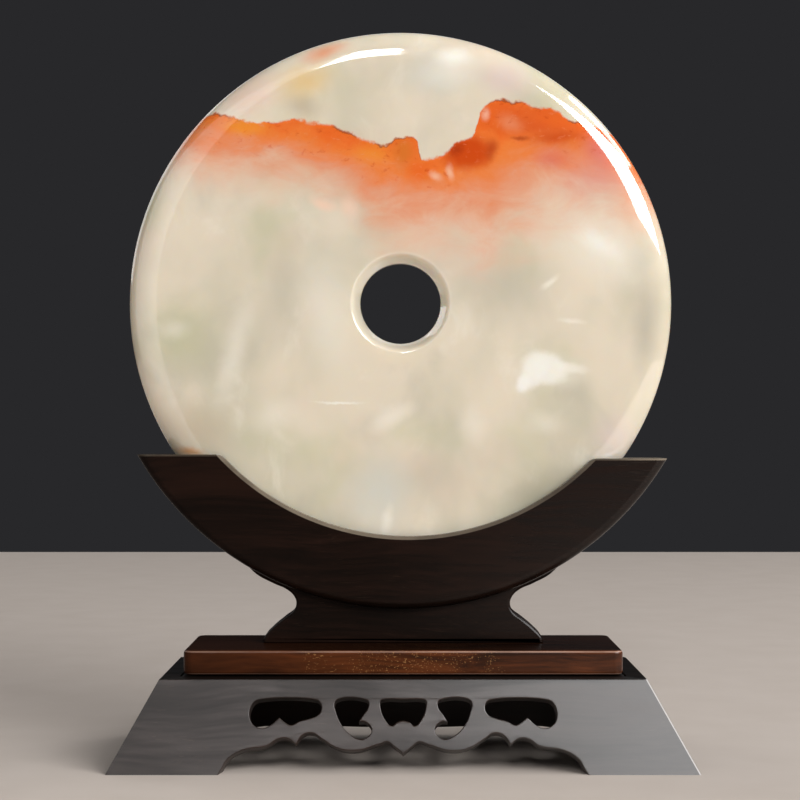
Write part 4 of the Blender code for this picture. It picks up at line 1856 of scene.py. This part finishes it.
@dataclass
class Studio:
    """Plain pale floor, charcoal surroundings, soft lights and the camera."""

    camera_distance: float = 0.596
    camera_height: float = 0.1077
    lens: float = 81.0
    sensor_width: float = 36.0
    clip_start: float = 0.01
    clip_end: float = 10.0
    shift_x: float = -0.004
    shift_y: float = 0.035
    floor_half: float = 0.967
    floor_tones: tuple[Colour, Colour] = (paint(190, 178, 168), paint(200, 189, 180))
    floor_roughness: float = 0.8
    surroundings: Colour = paint(40, 40, 42)
    light_target: Vector = field(default_factory=lambda: Vector((0, 0, 0.13)))
    lights: tuple[SoftLight, ...] = (
        SoftLight("front_softbox", -3.7, 30, 2.6, 0.265, 0.68, 10.5),
        SoftLight("right_softbox", 48.5, 27, 2.6, 2.0, 1.1, 75.0),
        SoftLight("side_softbox", 90, 44, 2.4, 1.3, 0.8, 18.0),
        SoftLight("left_fill", -42, 15, 2.6, 3.2, 2.2, 11.0),
        SoftLight("left_back_softbox", -125, 25, 2.6, 1.8, 1.6, 10.0),
        SoftLight("back_softbox", 180, 38, 3.0, 3.6, 1.4, 8.0),
    )

    def build(self) -> None:
        """Set up the whole studio."""
        self.lay_floor()
        self.paint_surroundings()
        for light in self.lights:
            light.hang(self.light_target)
        self.place_camera()

    def lay_floor(self) -> None:
        """Lay a pale floor with a fine, soft unevenness."""
        bpy.ops.object.select_all(action="DESELECT")
        bpy.ops.mesh.primitive_plane_add(size=2 * self.floor_half)
        floor = bpy.context.object
        floor.name = "floor"
        recipe = Recipe("pale_floor")
        tone = recipe.noise(recipe.place, 40.0, 3.0)
        recipe.plug(recipe.mix(tone, *self.floor_tones), recipe.shader.inputs["Base Color"])
        recipe.shader.inputs["Roughness"].default_value = self.floor_roughness
        floor.data.materials.append(recipe.material)

    def paint_surroundings(self) -> None:
        """Make the surroundings plain charcoal."""
        world = bpy.data.worlds.new("charcoal_surroundings")
        world.use_nodes = True
        world.node_tree.nodes["Background"].inputs["Color"].default_value = self.surroundings
        bpy.context.scene.world = world

    def place_camera(self) -> None:
        """Set the camera level, in front of the disc."""
        camera = bpy.data.cameras.new("camera")
        camera.lens = self.lens
        camera.sensor_width = self.sensor_width
        camera.shift_x = self.shift_x
        camera.shift_y = self.shift_y
        camera.clip_start = self.clip_start
        camera.clip_end = self.clip_end
        item = bpy.data.objects.new("camera", camera)
        bpy.context.scene.collection.objects.link(item)
        item.location = (0, -self.camera_distance, self.camera_height)
        item.rotation_euler = (math.radians(90), 0, 0)
        bpy.context.scene.camera = item


def main() -> None:
    """Build and dress the disc and its stand, and set up the studio."""
    logging.basicConfig(level=logging.INFO, format="%(message)s")
    bpy.context.scene.view_settings.view_transform = "Standard"
    Studio().build()
    disc = JadeDisc()
    disc.dress(disc.build())
    cradle = Cradle()
    cradle.dress(cradle.build())
    plinth = Plinth()
    plinth.dress(plinth.build())
    base = SplayedBase()
    base.dress(base.build())


if __name__ == "__main__":
    main()
